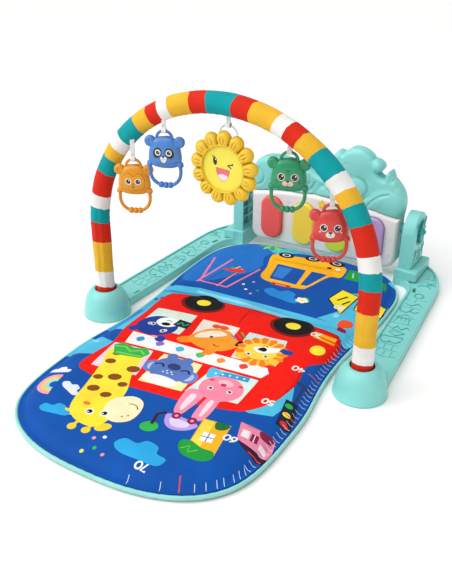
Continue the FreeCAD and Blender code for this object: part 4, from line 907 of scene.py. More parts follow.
def along_arch(p):
    """How far up the arch a point lies, from the right foot over to the left one, and the nearest centre point."""
    if p.z < LEG_TOP:
        side = 1 if p.x > 0 else -1
        run = p.z - LEG_FOOT
        return (run if side > 0 else 2 * HALF_RUN - run), Vector((side * ARCH_R, 0, p.z))
    angle = math.atan2(p.z - LEG_TOP, p.x)
    return (LEG_TOP - LEG_FOOT) + ARCH_R * angle, Vector((ARCH_R * math.cos(angle), 0,
                                                          LEG_TOP + ARCH_R * math.sin(angle)))


up_band = sleeve.data.attributes.new("up_band", "FLOAT", "POINT")
across_band = sleeve.data.attributes.new("round_leg", "FLOAT", "POINT")
for v in sleeve.data.vertices:
    run, centre = along_arch(v.co)
    out = (v.co - centre).normalized()
    radial = Vector((centre.x, 0, max(centre.z - LEG_TOP, 0))).normalized()
    inner = max(0.0, -out.dot(radial))
    bend = 1.0 if centre.z > LEG_TOP + 0.002 else 0.25
    half = min(run, 2 * HALF_RUN - run)
    ripple = math.sin(half * 560 + 2.0 * noise.noise(v.co * 60))
    pucker = 0.00032 * inner * bend * ripple * (0.6 + noise.noise(v.co * 25))
    drape = 0.0007 * noise.noise(Vector((run * 26, out.y * 1.3, out.dot(radial) * 1.3)))
    facing = max(0.0, -out.y * 0.92 + out.dot(radial) * -0.38)
    crease = 0.0
    if half < 0.17:
        dent = -0.0011 * math.exp(-((facing - 1.0) / 0.012) ** 2) * min(1, half / 0.05)
        crease = dent + 0.0007 * math.exp(-((facing - 0.93) / 0.03) ** 2)
    cuff = -0.0006 * math.exp(-(half / 0.006) ** 2)
    v.co += out * (pucker + drape + crease + cuff)
    slant = 0.0035 * out.y + 0.0016 * noise.noise(Vector((half * 30, out.y * 3, 5.0)))
    up_band.data[v.index].value = (half + slant) / HALF_RUN
    across_band.data[v.index].value = math.atan2(out.y, out.dot(radial)) / math.pi
deselect()
bpy.context.view_layer.objects.active = sleeve
sleeve.select_set(True)
hem = sleeve.modifiers.new("cloth_and_foam", "SOLIDIFY")
hem.thickness = 0.0011
hem.offset = -1.0
bpy.ops.object.modifier_apply(modifier=hem.name)
bpy.ops.object.shade_smooth()

# Bands of dyed cloth from the cup to the crown, each half of the arch alike; heights are along the sleeve.
BAND_RED, BAND_YELLOW, BAND_WHITE, BAND_TEAL = "#d42a17", "#e8b432", "#ecebe8", "#089aa0"
BANDS = [(0, BAND_RED), (53, BAND_WHITE), (83, BAND_YELLOW), (137, BAND_RED), (174, BAND_TEAL), (200, BAND_WHITE),
         (224, BAND_RED)]
UPPER = [(215, 263, BAND_TEAL), (201, 290, BAND_YELLOW), (188, 308, BAND_WHITE), (173, 325, BAND_TEAL),
         (146, 352, BAND_YELLOW),
         (124, 367, BAND_RED), (106, 378, BAND_WHITE), (87, 386, BAND_YELLOW), (52, 396, BAND_RED),
         (24, 401, BAND_TEAL)]
stops = []
for height, hue in BANDS:
    over = height * 0.001
    angle = math.asin(max(0.0, over - LEG_TOP) / ARCH_R)
    stops.append(((max(0.0, min(over, LEG_TOP) - LEG_FOOT) + ARCH_R * angle) / HALF_RUN, hue))
for x, z, hue in UPPER:
    angle = math.atan2(z * 0.001 - LEG_TOP, x * 0.001)
    stops.append((((LEG_TOP - LEG_FOOT) + ARCH_R * angle) / HALF_RUN, hue))
sleeve_cloth = new_material("band_dyed_polyester_sleeve")
sleeve_run = add_node(sleeve_cloth, "ShaderNodeAttribute", {}, {"attribute_name": "up_band"})
sleeve_round = add_node(sleeve_cloth, "ShaderNodeAttribute", {}, {"attribute_name": "round_leg"})
bands = add_node(sleeve_cloth, "ShaderNodeValToRGB", {0: sleeve_run.outputs["Fac"]})
bands.color_ramp.interpolation = "CONSTANT"
while len(bands.color_ramp.elements) < len(stops):
    bands.color_ramp.elements.new(0.5)
for n, (at, hue) in enumerate(stops):
    bands.color_ramp.elements[n].position = at
for n, (at, hue) in enumerate(stops):
    bands.color_ramp.elements[n].color = linear(hue)
sleeve_place = add_node(sleeve_cloth, "ShaderNodeTexCoord")
sleeve_cloud = add_node(sleeve_cloth, "ShaderNodeTexNoise",
                        {"Vector": sleeve_place.outputs["Object"], "Scale": 42.0, "Detail": 4.0})
sleeve_tone = add_node(sleeve_cloth, "ShaderNodeMapRange",
                       {0: sleeve_cloud.outputs[0], 1: 0.3, 2: 0.7, 3: 0.90, 4: 1.05})
sleeve_dye = add_node(sleeve_cloth, "ShaderNodeVectorMath",
                      {0: bands.outputs["Color"], "Scale": sleeve_tone.outputs[0]},
                      {"operation": "SCALE"})
sleeve_grid = add_node(sleeve_cloth, "ShaderNodeCombineXYZ",
                       {0: sleeve_run.outputs["Fac"], 1: sleeve_round.outputs["Fac"]})
sleeve_warp = add_node(sleeve_cloth, "ShaderNodeTexWave",
                       {"Vector": sleeve_grid.outputs[0], "Scale": 85.0, "Distortion": 0.6},
                       {"bands_direction": "X"})
sleeve_weft = add_node(sleeve_cloth, "ShaderNodeTexWave",
                       {"Vector": sleeve_grid.outputs[0], "Scale": 9.0, "Distortion": 0.6},
                       {"bands_direction": "Y"})
sleeve_weave = add_node(sleeve_cloth, "ShaderNodeMath", {0: sleeve_warp.outputs[1], 1: sleeve_weft.outputs[1]},
                        {"operation": "ADD"})
sleeve_fuzz = add_node(sleeve_cloth, "ShaderNodeTexNoise",
                       {"Vector": sleeve_place.outputs["Object"], "Scale": 1300.0, "Detail": 2.0})
sleeve_height = add_node(sleeve_cloth, "ShaderNodeMath", {0: sleeve_weave.outputs[0], 1: sleeve_fuzz.outputs[0]},
                         {"operation": "ADD"})
sleeve_bump = add_node(sleeve_cloth, "ShaderNodeBump", {"Height": sleeve_height.outputs[0], "Strength": 0.22,
                                                        "Distance": 0.0004})
sleeve_rough = add_node(sleeve_cloth, "ShaderNodeMapRange", {0: sleeve_cloud.outputs[0], 3: 0.68, 4: 0.84})
sleeve_skin = add_node(sleeve_cloth, "ShaderNodeBsdfPrincipled", {
    "Base Color": sleeve_dye.outputs[0], "Roughness": sleeve_rough.outputs[0], "Normal": sleeve_bump.outputs[0],
    "Sheen Weight": 0.06, "Sheen Roughness": 0.3, "Specular IOR Level": 0.16})
add_node(sleeve_cloth, "ShaderNodeOutputMaterial", {"Surface": sleeve_skin.outputs[0]})
sleeve.data.materials.append(sleeve_cloth)
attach(sleeve, "frame")
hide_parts("arch_sleeve")

# ---- straps ----
# White polyester webbing, 7 mm wide. Each strap passes round its toy's hook, both ends are bartacked together, and
# the tail is sewn into the seam under the arch sleeve. It bends where it leaves the sleeve.
webbing = new_material("woven_white_webbing")
web_run = add_node(webbing, "ShaderNodeAttribute", {}, {"attribute_name": "along_web"})
web_side = add_node(webbing, "ShaderNodeAttribute", {}, {"attribute_name": "across_web"})
web_grid = add_node(webbing, "ShaderNodeCombineXYZ", {0: web_run.outputs["Fac"], 1: web_side.outputs["Fac"]})
# Picks 0.9 mm apart and five wider ribs, as a herringbone tape has.
web_picks = add_node(webbing, "ShaderNodeTexWave", {"Vector": web_grid.outputs[0], "Scale": 350.0, "Distortion": 0.8},
                     {"bands_direction": "X"})
web_ribs = add_node(webbing, "ShaderNodeTexWave", {"Vector": web_grid.outputs[0], "Scale": 220.0, "Distortion": 0.3},
                    {"bands_direction": "Y"})
web_high = add_node(webbing, "ShaderNodeMath", {0: web_picks.outputs[1], 1: web_ribs.outputs[1]},
                    {"operation": "ADD"})
web_bump = add_node(webbing, "ShaderNodeBump", {"Height": web_high.outputs[0], "Strength": 0.5, "Distance": 0.0003})
# The colour follows the weave's height, greyer in the hollows between picks and ribs: painted shade in the weave.
web_weave_shade = add_node(webbing, "ShaderNodeMix", {0: web_high.outputs[0], 6: linear("#cdc9c6"), 7: linear("#f1efed")},
                    {"data_type": "RGBA"})
web_skin = add_node(webbing, "ShaderNodeBsdfPrincipled", {
    "Base Color": web_weave_shade.outputs[2], "Roughness": 0.8, "Normal": web_bump.outputs[0], "Sheen Weight": 0.08,
    "Specular IOR Level": 0.3})
add_node(webbing, "ShaderNodeOutputMaterial", {"Surface": web_skin.outputs[0]})

# Name, place of the hook's top in millimetres, turn of the toy in degrees, and height where the strap bends.
HANGERS = [("monkey", -154.5, -10.0, 301.0, 24.0, 322.96), ("raccoon", -96.0, -8.0, 354.0, 18.0, 363.03),
           ("tiger", 101.0, 9.0, 349.5, 18.0, 361.16), ("bear", 168.5, 10.0, 286.0, 24.0, 307.85),
           ("sun", 9.0, 0.0, 376.0, 0.0, 383.9)]
WEB_HALF, WEB_SHOULDER, WEB_PLY, WEB_HOLLOW, WEB_LOOP = 3.5, 3.25, 0.86, 0.40, 3.45
SEWN_IN = 2.2  # how far an end runs up past the sleeve's underside


def under_sleeve(x, y):
    """Height of the arch sleeve's underside over a point, in millimetres."""
    inner = 1000 * ARCH_R - math.sqrt(16.0 ** 2 - min(abs(y), 15.0) ** 2)
    return 1000 * LEG_TOP + math.sqrt(max(inner ** 2 - x ** 2, 1.0))


for toy, hook_x, hook_y, hook_z, turn, bend_z in HANGERS:
    tube_z = hook_z - 2.2
    rise = [tube_z + 5.2 + n for n in range(int(bend_z + 1.5 - tube_z - 5.2))] + [bend_z + 1.6, bend_z + 4]
    side = [(-0.46, z) for z in reversed(rise)] + [(-0.9, tube_z + 4.4), (-1.8, tube_z + 3.4)]
    loop = [(WEB_LOOP * math.cos(math.radians(a)), tube_z + WEB_LOOP * math.sin(math.radians(a)))
            for a in range(135, 406, 18)]
    path = side + loop + [(-y, z) for y, z in reversed(side)]
    placing = Matrix.Translation((hook_x, hook_y, 0)) @ Matrix.Rotation(math.radians(turn), 4, "Z")
    verts, faces, runs = [], [], []
    length = 0.0
    for n, (y, z) in enumerate(path):
        before, after = Vector(path[max(n - 1, 0)]), Vector(path[min(n + 1, len(path) - 1)])
        way = (after - before).normalized()
        length += (Vector(path[n]) - Vector(path[max(n - 1, 0)])).length
        for x, out in ((-WEB_HALF, 0.0), (-WEB_SHOULDER, WEB_PLY / 2), (0.0, WEB_HOLLOW), (WEB_SHOULDER, WEB_PLY / 2),
                       (WEB_HALF, 0.0), (WEB_SHOULDER, -WEB_PLY / 2), (0.0, -WEB_HOLLOW),
                       (-WEB_SHOULDER, -WEB_PLY / 2)):
            p = placing @ Vector((x, y - way.y * out, z + way.x * out))
            if n in (0, len(path) - 1):
                p.z = under_sleeve(p.x, p.y) + SEWN_IN
            verts.append(p * 0.001)
            runs.append((length * 0.001, x * 0.001))
        if n:
            for k in range(8):
                a, b = (n - 1) * 8 + k, (n - 1) * 8 + (k + 1) % 8
                faces.append((a, b, b + 8, a + 8))
    faces += [tuple(range(7, -1, -1)), tuple(range(len(verts) - 8, len(verts)))]
    tack_z = tube_z + 6.4

    def tack_face(x, z, out):
        return placing @ Vector((x, out * 0.90, z)) * 0.001, placing.to_3x3() @ Vector((0, out, 0))

    for out in (-1, 1):
        rows = [[(-2.7 + 0.6 * k, tack_z + 0.2, out), (-2.4 + 0.6 * k, tack_z + 1.9, out)] for k in range(9)]
        thread_verts, thread_faces = raised_line(rows, tack_face, 0.0005, 0.0003)
        faces += [tuple(n + len(verts) for n in face) for face in thread_faces]
        verts += thread_verts
        runs += [(0.0, 0.0)] * len(thread_verts)
    strap = mesh_piece("strap_webbing_" + toy, verts, faces, webbing, None)
    nearest = {tuple(round(c, 5) for c in p): run for p, run in zip(verts, runs)}
    for key, value in (("along_web", 0), ("across_web", 1)):
        attribute = strap.data.attributes.new(key, "FLOAT", "POINT")
        for v in strap.data.vertices:
            attribute.data[v.index].value = nearest.get(tuple(round(c, 5) for c in v.co), (0, 0))[value]
    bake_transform(strap)
    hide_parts("strap_" + toy)

# ---- animal rattles ----
# One injection-moulded ABS rattle in four colours: two glossy half shells glued round the loose beads, a hook moulded
# on the back half, and a grip ring with three ridges held in the paws. The faces are pad-printed.


def reach_of(outline, middle):
    """How far the outline lies from the middle in a direction."""
    table = sorted((math.atan2(z - middle[1], x - middle[0]), math.hypot(x - middle[0], z - middle[1])) for x,
                   z in outline)
    table = [(table[-1][0] - 2 * math.pi, table[-1][1])] + table + [(table[0][0] + 2 * math.pi, table[0][1])]

    def reach(angle):
        low, high = 0, len(table) - 1
        while high - low > 1:
            half = (low + high) // 2
            if table[half][0] <= angle:
                low = half
            else:
                high = half
        (a, r), (b, s) = table[low], table[high]
        return r + (s - r) * (angle - a) / (b - a)

    return reach


def drawn_in(outline, middle, share):
    """The outline shrunk towards its middle."""
    return [(middle[0] + (x - middle[0]) * share, middle[1] + (z - middle[1]) * share) for x, z in outline]


def relief(name, layers, bodies, spacing, front, back):
    """A moulded face in X and Z, cut along its printed edges, swelled towards -Y to front(x, z) millimetres and
    hollowed out behind to back(x, z)."""
    made = cut_sheet(name, layers, spacing, bodies)
    deselect()
    bpy.context.view_layer.objects.active = made
    made.select_set(True)
    bpy.ops.object.mode_set(mode="EDIT")
    bpy.ops.mesh.select_all(action="SELECT")
    bpy.ops.mesh.extrude_region_move(TRANSFORM_OT_translate={"value": (0, 0, 0.02)})
    bpy.ops.mesh.select_all(action="SELECT")
    bpy.ops.mesh.normals_make_consistent(inside=False)
    bpy.ops.object.mode_set(mode="OBJECT")
    for v in made.data.vertices:
        x, z = v.co.x * 1000, v.co.y * 1000
        depth = front(x, z) if v.co.z > 0.01 else back(x, z)
        v.co = Vector((x, -depth, z)) * 0.001
    made.data.update()
    bpy.ops.object.shade_smooth_by_angle(angle=math.radians(48))
    return made


HEAD_MID = (0.0, -37.0)
HEAD = soft([(0, -11), (13, -13.5), (21, -23), (25, -38), (24.5, -49), (17, -57), (0, -59.5), (-17, -57),
             (-24.5, -49),
             (-25, -38), (-21, -23), (-13, -13.5)], 9)
HEAD_SHARES = (0.988, 0.965, 0.93, 0.88, 0.81, 0.72)
head_reach = reach_of(HEAD, HEAD_MID)
EARS = [(-22.5, -19.0), (22.5, -19.0)]
PAWS = [(-23.0, -52.6), (23.0, -52.6)]
MASK = soft([(0, -26.5), (6, -22.8), (13, -24), (17.6, -31), (18.2, -41), (13.5, -48.5), (0, -51), (-13.5, -48.5),
             (-18.2, -41), (-17.6, -31), (-13, -24), (-6, -22.8)], 7)


def head_front(x, z):
    """How proud the front half stands: an egg-shaped dome, dished round ears and small mitten paws."""
    share = math.hypot(x, z - HEAD_MID[1]) / head_reach(math.atan2(z - HEAD_MID[1], x))
    tall = 9.2 * (1 - min(share, 1) ** 2.4) ** 0.5
    for ear_x, ear_z in EARS:
        t = math.hypot(x - ear_x, z - ear_z) / 8.5
        if t < 1:
            dish = 1.5 * (1 - (t / 0.66) ** 2) ** 2 if t < 0.66 else 0.0
            tall = max(tall, 4.9 * (1 - t ** 3) ** 0.5 - dish)
    for paw_x, paw_z in PAWS:
        t = math.hypot((x - paw_x) / 5.6, (z - paw_z) / 4.7)
        if t < 1:
            tall = max(tall, 5.6 * (1 - t * t) ** 0.5)
    return max(tall, 0.7)


def head_back(x, z):
    """The inside of the front half, 1.8 mm under its outside."""
    share = math.hypot(x, z - HEAD_MID[1]) / head_reach(math.atan2(z - HEAD_MID[1], x))
    return max(head_front(x, z) - 1.8, 0.0) if share < 0.93 else 0.0


def engraved(x, z):
    """The monkey's front: its face mask stands in a fine engraved line."""
    near = min(math.hypot(x - px, z - pz) for px, pz in MASK)
    return head_front(x, z) - (0.35 * math.exp(-(near / 0.55) ** 2) if near < 2 else 0.0)


def toy_eyes(x, z, ring, pupil, ring_hue):
    """A pair of round printed eyes with highlights."""
    made = []
    for way in (-1, 1):
        made += [(ring_hue, oval(way * x, z, ring, ring * 1.04)), (BLACK, oval(way * x, z, pupil, pupil * 1.05)),
                 (WHITE, oval(way * x + pupil * 0.34, z + pupil * 0.38, pupil * 0.25, pupil * 0.28, 0, 14)),
                 (WHITE, oval(way * x - pupil * 0.32, z - pupil * 0.44, pupil * 0.12, pupil * 0.12, 0, 10))]
    return made


def mouth(z, hue):
    """A short line under the nose that parts into two small bows."""
    return [(hue, line([(0, z), (0, z - 1.8)], 0.55)), (hue, line(bow(-1.3, z - 1.7, 1.3, -175, 0), 0.5)),
            (hue, line(bow(1.3, z - 1.7, 1.3, -180, -5), 0.5))]


CREAM, MUZZLE_PINK, SOOT = "#f6efe6", "#eec3bb", "#26221f"
bear_face = toy_eyes(9.7, -34.4, 5.3, 4.3, CREAM) + [
    ("#ebe6e2", soft([(-6.4, -43.8), (-3.6, -40.2), (0, -39.4), (3.6, -40.2), (6.4, -43.8), (4.6, -48.2), (0, -49.6),
                      (-4.6, -48.2)])),
    (SOOT, soft([(-3, -40.4), (0, -39.7), (3, -40.4), (1.7, -42.9), (0, -43.6), (-1.7, -42.9)], 3))
] + mouth(-43.4, SOOT) + [(CREAM, oval(-14.8, -40.4, 1.1, 1.1, 0, 12)), (CREAM, oval(14.8, -40.4, 1.1, 1.1, 0, 12))]
tiger_face = toy_eyes(9.4, -36.0, 5.4, 4.3, "#f0cfc6") + [
    (MUZZLE_PINK, oval(-3.4, -45.2, 4.4, 3.8)), (MUZZLE_PINK, oval(3.4, -45.2, 4.4, 3.8)),
    (SOOT, soft([(-2.3, -41.4), (0, -41), (2.3, -41.4), (1.3, -43.3), (0, -43.9), (-1.3, -43.3)], 3))
] + mouth(-43.8, "#a05a58")
for spot_x, spot_z in ((-5.4, -44.4), (-4.6, -46.4), (5.4, -44.4), (4.6, -46.4)):
    tiger_face.append(("#b8706c", oval(spot_x, spot_z, 0.38, 0.38, 0, 8)))
for way in (-1, 1):
    tiger_face += [(SOOT, line([(way * 14.2, -41.2), (way * 16.4, -41.6), (way * 18.2, -40.8)], 0.9)),
                   (SOOT, line([(way * 14.4, -44.0), (way * 16.4, -44.6), (way * 18.4, -44.2)], 0.9))]
tiger_face += [(SOOT, line([(-2.6, -27.0), (0, -26.5), (2.6, -27.0)], 0.9)),
               (SOOT, line([(-1.9, -29.2), (0, -28.7), (1.9, -29.2)], 0.9)),
               (SOOT, line([(-1.2, -31.3), (0, -30.9), (1.2, -31.3)], 0.9))]
raccoon_face = []
for way in (-1, 1):
    raccoon_face.append((SOOT, oval(way * 9.2, -34.0, 6.6, 8.4, way * 24)))
raccoon_face += toy_eyes(8.4, -33.4, 4.5, 3.0, CREAM) + [
    (CREAM, soft([(-4.7, -41.0), (-2.6, -39.4), (0, -40.4), (2.6, -39.4), (4.7, -41.0), (3.4, -46.4), (0, -49.0),
                  (-3.4, -46.4)])),
    (SOOT, soft([(-2.1, -38.6), (0, -38.1), (2.1, -38.6), (1.2, -40.6), (0, -41.4), (-1.2, -40.6)], 3))
] + mouth(-41.2, "#8a8078")
# The engraved line round the mask is coloured darker orange: painted shade in the groove.
MASK_GROOVE_SHADE = "#a86a08"
monkey_face = [(MASK_GROOVE_SHADE, MASK), ("#e69a12", inset(MASK, 0.75))] + toy_eyes(7.6, -35.6, 4.8, 3.6, CREAM) + [
    (SOOT, soft([(-1.4, -39.0), (0, -38.7), (1.4, -39.0), (0, -40.6)], 3)),
    (SOOT, soft([(-2.0, -42.0), (0, -41.7), (2.0, -42.0), (1.3, -44.9), (0, -45.7), (-1.3, -44.9)], 3)),
    (WHITE, oval(0, -42.7, 1.1, 0.55, 0, 10))]

SHELL_HUES = {"monkey": ("#e2960e", "#d2860a", monkey_face), "raccoon": ("#4a82cc", "#3b70ba", raccoon_face),
              "tiger": ("#279566", "#1f8458", tiger_face), "bear": ("#d6433d", "#c43833", bear_face)}
bead = moulded_plastic("rattle_bead_polystyrene", "#f3f1ee", "#e6e2dd", 0.3)
for toy, hook_x, hook_y, hook_z, turn, bend_z in HANGERS[:4]:
    hue, shade, face = SHELL_HUES[toy]
    bodies = [(hue, HEAD)] + [(hue, oval(x, z, 8.5, 8.5, 0, 44)) for x, z in EARS]
    bodies += [(hue, oval(x, z, 5.6, 4.7, 0, 32)) for x, z in PAWS]
    rings = [(None, drawn_in(HEAD, HEAD_MID, share)) for share in HEAD_SHARES]
    rings += [(None, oval(x, z, 8.5 * share, 8.5 * share, 0, 40)) for x,
              z in EARS for share in (0.97, 0.9, 0.78, 0.6)]
    rings += [(None, oval(x, z, 5.6 * share, 4.7 * share, 0, 28)) for x, z in PAWS for share in (0.96, 0.86, 0.7)]
    front = engraved if toy == "monkey" else head_front
    head = relief(toy + "_face_shell", bodies + rings + face, 5, 1.25, front, head_back)
    head.data.transform(Matrix.Translation((hook_x * 0.001, hook_y * 0.001, hook_z * 0.001))
                        @ Matrix.Rotation(math.radians(turn), 4, "Z"))
    head.data.materials.append(moulded_plastic(toy + "_pad_printed_abs", hue, shade, 0.27, 0.06, 900.0, inked=True))
    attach(head, toy)
    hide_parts(toy + "_front_shell")
    glossy = moulded_plastic(toy + "_glossy_moulded_abs", hue, shade, 0.27, 0.06, 900.0)
    finish_node(toy + "_back_shell", glossy)
    finish_node(toy + "_rattle_beads", bead)

# The grip ring is one solid moulding: a round bar with three barrel ridges, its ends clamped inside the paws.
GRIP_LINE = [(22.6, -52.0), (23.6, -57.5), (23.9, -63.5), (23.2, -70.5), (20.4, -77.6), (15.2, -83.0), (9.2, -85.8),
             (0.0, -86.6)]


def grip_run():
    """Centre points of the grip ring with the bar's radius at each."""
    half = soft(GRIP_LINE + [(-x, z) for x, z in reversed(GRIP_LINE[:-1])], 8)[:14 * 8 + 1]
    made = []
    for x, z in half:
        made.append((x, z))
    dense = []
    for (x0, z0), (x1, z1) in zip(made, made[1:]):
        steps = 3 if abs(x0) < 13 and z0 < -80 else 1
        dense += [(x0 + (x1 - x0) * k / steps, z0 + (z1 - z0) * k / steps) for k in range(steps)]
    dense.append(made[-1])
    run = []
    for x, z in dense:
        radius = 2.7
        for ridge in (-7.2, 0.0, 7.2):
            off = abs(x - ridge) / 3.3 if z < -80 else 1.0
            if off < 1:
                radius = max(radius, 2.9 + 1.9 * (1 - off ** 2.6) ** 0.5)
        run.append((x, z, radius))
    return run


GRIP_RUN = grip_run()
for toy, hook_x, hook_y, hook_z, turn, bend_z in HANGERS[:4]:
    placing = Matrix.Translation((hook_x, hook_y, hook_z)) @ Matrix.Rotation(math.radians(turn), 4, "Z")
    verts, faces = [], []
    for n, (x, z, radius) in enumerate(GRIP_RUN):
        x0, z0, _ = GRIP_RUN[max(n - 1, 0)]
        x1, z1, _ = GRIP_RUN[min(n + 1, len(GRIP_RUN) - 1)]
        way = Vector((x1 - x0, 0, z1 - z0)).normalized()
        side = Vector((-way.z, 0, way.x))
        for k in range(18):
            a = 2 * math.pi * k / 18
            p = Vector((x, 0, z)) + side * math.cos(a) * radius + Vector((0, 1, 0)) * math.sin(a) * radius
            verts.append(placing @ p * 0.001)
        if n:
            for k in range(18):
                a, b = (n - 1) * 18 + k, (n - 1) * 18 + (k + 1) % 18
                faces.append((a, b, b + 18, a + 18))
    faces += [tuple(range(17, -1, -1)), tuple(range(len(verts) - 18, len(verts)))]
    bar = mesh_piece(toy + "_grip_ring", verts, faces, bpy.data.materials[toy + "_glossy_moulded_abs"], toy)
    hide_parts(toy + "_handle")

# ---- sunflower ----
# Two ABS shells with thirteen puffy petals, glued round a printed smiling disc in front and an acrylic mirror behind.
# A clear ring moulded into a slot behind the top petal carries it.
SUN_AT = Vector((2.0, 0.0, 309.0))
OPEN_R, PETALS, PETAL_R, PETAL_REACH, STEPS_EACH, STEPS_OUT = 34.0, 13, 11.3, 44.7, 30, 26


def petal_place(angle, radius):
    """Distance along and across the nearest petal's own axis."""
    pitch = 2 * math.pi / PETALS
    off = (angle - math.pi / 2 + pitch / 2) % pitch - pitch / 2
    return radius * math.cos(off), radius * math.sin(off)


def flower_edge(angle):
    """Outer edge of the petals in a direction."""
    pitch = 2 * math.pi / PETALS
    off = (angle - math.pi / 2 + pitch / 2) % pitch - pitch / 2
    return PETAL_REACH * math.cos(off) + math.sqrt(PETAL_R ** 2 - (PETAL_REACH * math.sin(off)) ** 2)


def petal_height(angle, radius, tall, grooved):
    along, across = petal_place(angle, radius)
    if along > PETAL_REACH:
        t = math.hypot(along - PETAL_REACH, across) / PETAL_R
    else:
        t = abs(across) / (8.2 + 3.1 * max(0.0, along - OPEN_R) / (PETAL_REACH - OPEN_R))
    high = tall * max(0.0, 1 - min(t, 1) ** 2.7) ** 0.5
    high *= 0.80 + 0.20 * math.sin(math.pi * min(1.0, max(0.0, (along - OPEN_R) / 20)))
    if grooved and 35 < along < 50:
        vein = 2.3 * math.sin(math.pi * (along - 35) / 15) ** 0.8 + 0.5
        fade = math.sin(math.pi * (along - 35) / 15) ** 0.5
        high -= 2.3 * fade * math.exp(-((abs(across) - vein) / 1.0) ** 2)
    high = max(high, 1.6)
    if grooved:
        lip = math.exp(-((radius - OPEN_R - 1.2) / 1.1) ** 2)
        high = max(high, 7.9 * lip ** 0.4 if radius < OPEN_R + 2.6 else 0.0)
    return high


petal_abs = moulded_plastic("petal_moulded_abs", "#f2cc34", "#e8bb24", 0.30, 0.10, 900.0)
for name, opening, tall, seam, facing in (("sun_front_petals", OPEN_R, 9.2, 0.0, -1),
                                          ("sun_back_petals", 31.0, 8.0, 0.1, 1)):
    deselect()
    ring_count = PETALS * STEPS_EACH
    bpy.ops.mesh.primitive_circle_add(vertices=ring_count, radius=opening * 0.001, rotation=(math.pi / 2, 0, 0))
    flower = bpy.context.active_object
    flower.name = name
    bpy.ops.object.transform_apply(location=True, rotation=True, scale=True)
    bpy.ops.object.mode_set(mode="EDIT")
    bpy.ops.mesh.select_all(action="SELECT")
    for _ in range(STEPS_OUT + 4):
        bpy.ops.mesh.extrude_region_move(TRANSFORM_OT_translate={"value": (0, 0.0001, 0)})
    bpy.ops.object.mode_set(mode="OBJECT")
    for v in flower.data.vertices:
        loop = round(v.co.y / 0.0001)
        angle = math.atan2(v.co.z, v.co.x)
        edge = flower_edge(angle)
        share = min(max(loop - 1, 0), STEPS_OUT) / STEPS_OUT
        share = math.sin(share * math.pi / 2) ** 0.85 * 0.35 + share * 0.65
        radius = opening + (edge - opening) * share
        if loop == 0 or loop == STEPS_OUT + 4:
            radius, high = opening, 0.0
        elif loop == STEPS_OUT + 3:
            radius, high = opening + (edge - opening) * 0.5, 0.0
        elif loop == STEPS_OUT + 2:
            radius, high = edge, 0.0
        else:
            high = petal_height(angle, radius, tall, facing < 0)
            if loop == STEPS_OUT + 1:
                high = 1.2
        v.co = (SUN_AT + Vector((radius * math.cos(angle), facing * high + seam, radius * math.sin(angle)))) * 0.001
    bpy.ops.object.mode_set(mode="EDIT")
    bpy.ops.mesh.select_all(action="SELECT")
    bpy.ops.mesh.remove_doubles(threshold=0.00002)
    bpy.ops.mesh.normals_make_consistent(inside=False)
    bpy.ops.object.mode_set(mode="OBJECT")
    bpy.ops.object.shade_smooth_by_angle(angle=math.radians(60))
    flower.data.materials.append(petal_abs)
    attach(flower, "sunflower")
    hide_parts("sun_front_shell" if facing < 0 else "sun_back_shell")

LEMON, LIP, TONGUE = "#f1e24a", "#e5707a", "#f2dbe8"
SMILE = soft([(-11.5, 0.6), (-6, 0.9), (0, 0.4), (6, 0.0), (11.2, -0.8), (10.2, -7.5), (7, -14), (1.5, -18.6),
              (-3, -18.2), (-7.5, -13.5), (-10.6, -6.5)], 5)
smile_art = [(LEMON, oval(0, 0, 35.5, 35.5, 0, 90)), (None, oval(0, 0, 34.6, 34.6, 0, 90)),
             ("#a8403c", SMILE), (LIP, inset(SMILE, 0.5)),
             (TONGUE, soft([(-8.2, -10.4), (-4.6, -8.6), (0, -8.0), (4.6, -8.8), (7.9, -10.6), (5.6, -15.4),
                            (1.2, -17.9),
                            (-2.8, -17.5), (-6.4, -14.4)], 5)),
             (SOOT, oval(-13.2, 10.2, 3.3, 6.2, 6)), (SOOT, line([(-15.2, 14.4), (-17.4, 17.2), (-18.2, 17.8)], 1.3)),
             (SOOT, line([(-14.0, 15.6), (-15.0, 18.4)], 1.0)), (WHITE, oval(-12.4, 12.8, 0.8, 1.3, 0, 12)),
             (SOOT, line([(7.6, 6.4), (11.5, 7.4), (17.2, 8.6)], 1.7)),
             (SOOT, line([(7.8, 6.2), (11.2, 4.6), (14.2, 2.2)], 1.7)),
             (SOOT, line([(13.0, 7.6), (16.8, 10.6)], 0.9))]
sun_disc = relief("sun_printed_disc", smile_art, 1, 3.0, lambda x, z: 3.8 if math.hypot(x, z) > 35.0 else 3.95,
                  lambda x, z: 1.8)
sun_disc.data.transform(Matrix.Translation(SUN_AT * 0.001))
sun_disc.data.materials.append(moulded_plastic("printed_polystyrene_disc", LEMON, "#e8d83e", 0.42, 0.05, 1100.0,
                                               inked=True))
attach(sun_disc, "sunflower")
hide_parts("sun_face_disc")

# Vacuum-metallised acrylic: nearly a mirror, with the faint waviness of thin sheet.
silver = new_material("metallised_acrylic_mirror")
silver_place = add_node(silver, "ShaderNodeTexCoord")
silver_wave = add_node(silver, "ShaderNodeTexNoise", {"Vector": silver_place.outputs["Object"], "Scale": 35.0,
                                                      "Detail": 1.0})
silver_bump = add_node(silver, "ShaderNodeBump", {"Height": silver_wave.outputs[0], "Strength": 0.05,
                                                  "Distance": 0.0006})
silver_tone = add_node(silver, "ShaderNodeMix", {0: silver_wave.outputs[0], 6: linear("#d5d9dd"),
                                                 7: linear("#e9ecef")},
                       {"data_type": "RGBA"})
silver_skin = add_node(silver, "ShaderNodeBsdfPrincipled", {"Base Color": silver_tone.outputs[2], "Metallic": 1.0,
                                                            "Roughness": 0.06, "Normal": silver_bump.outputs[0]})
add_node(silver, "ShaderNodeOutputMaterial", {"Surface": silver_skin.outputs[0]})
finish_node("sun_mirror", silver)

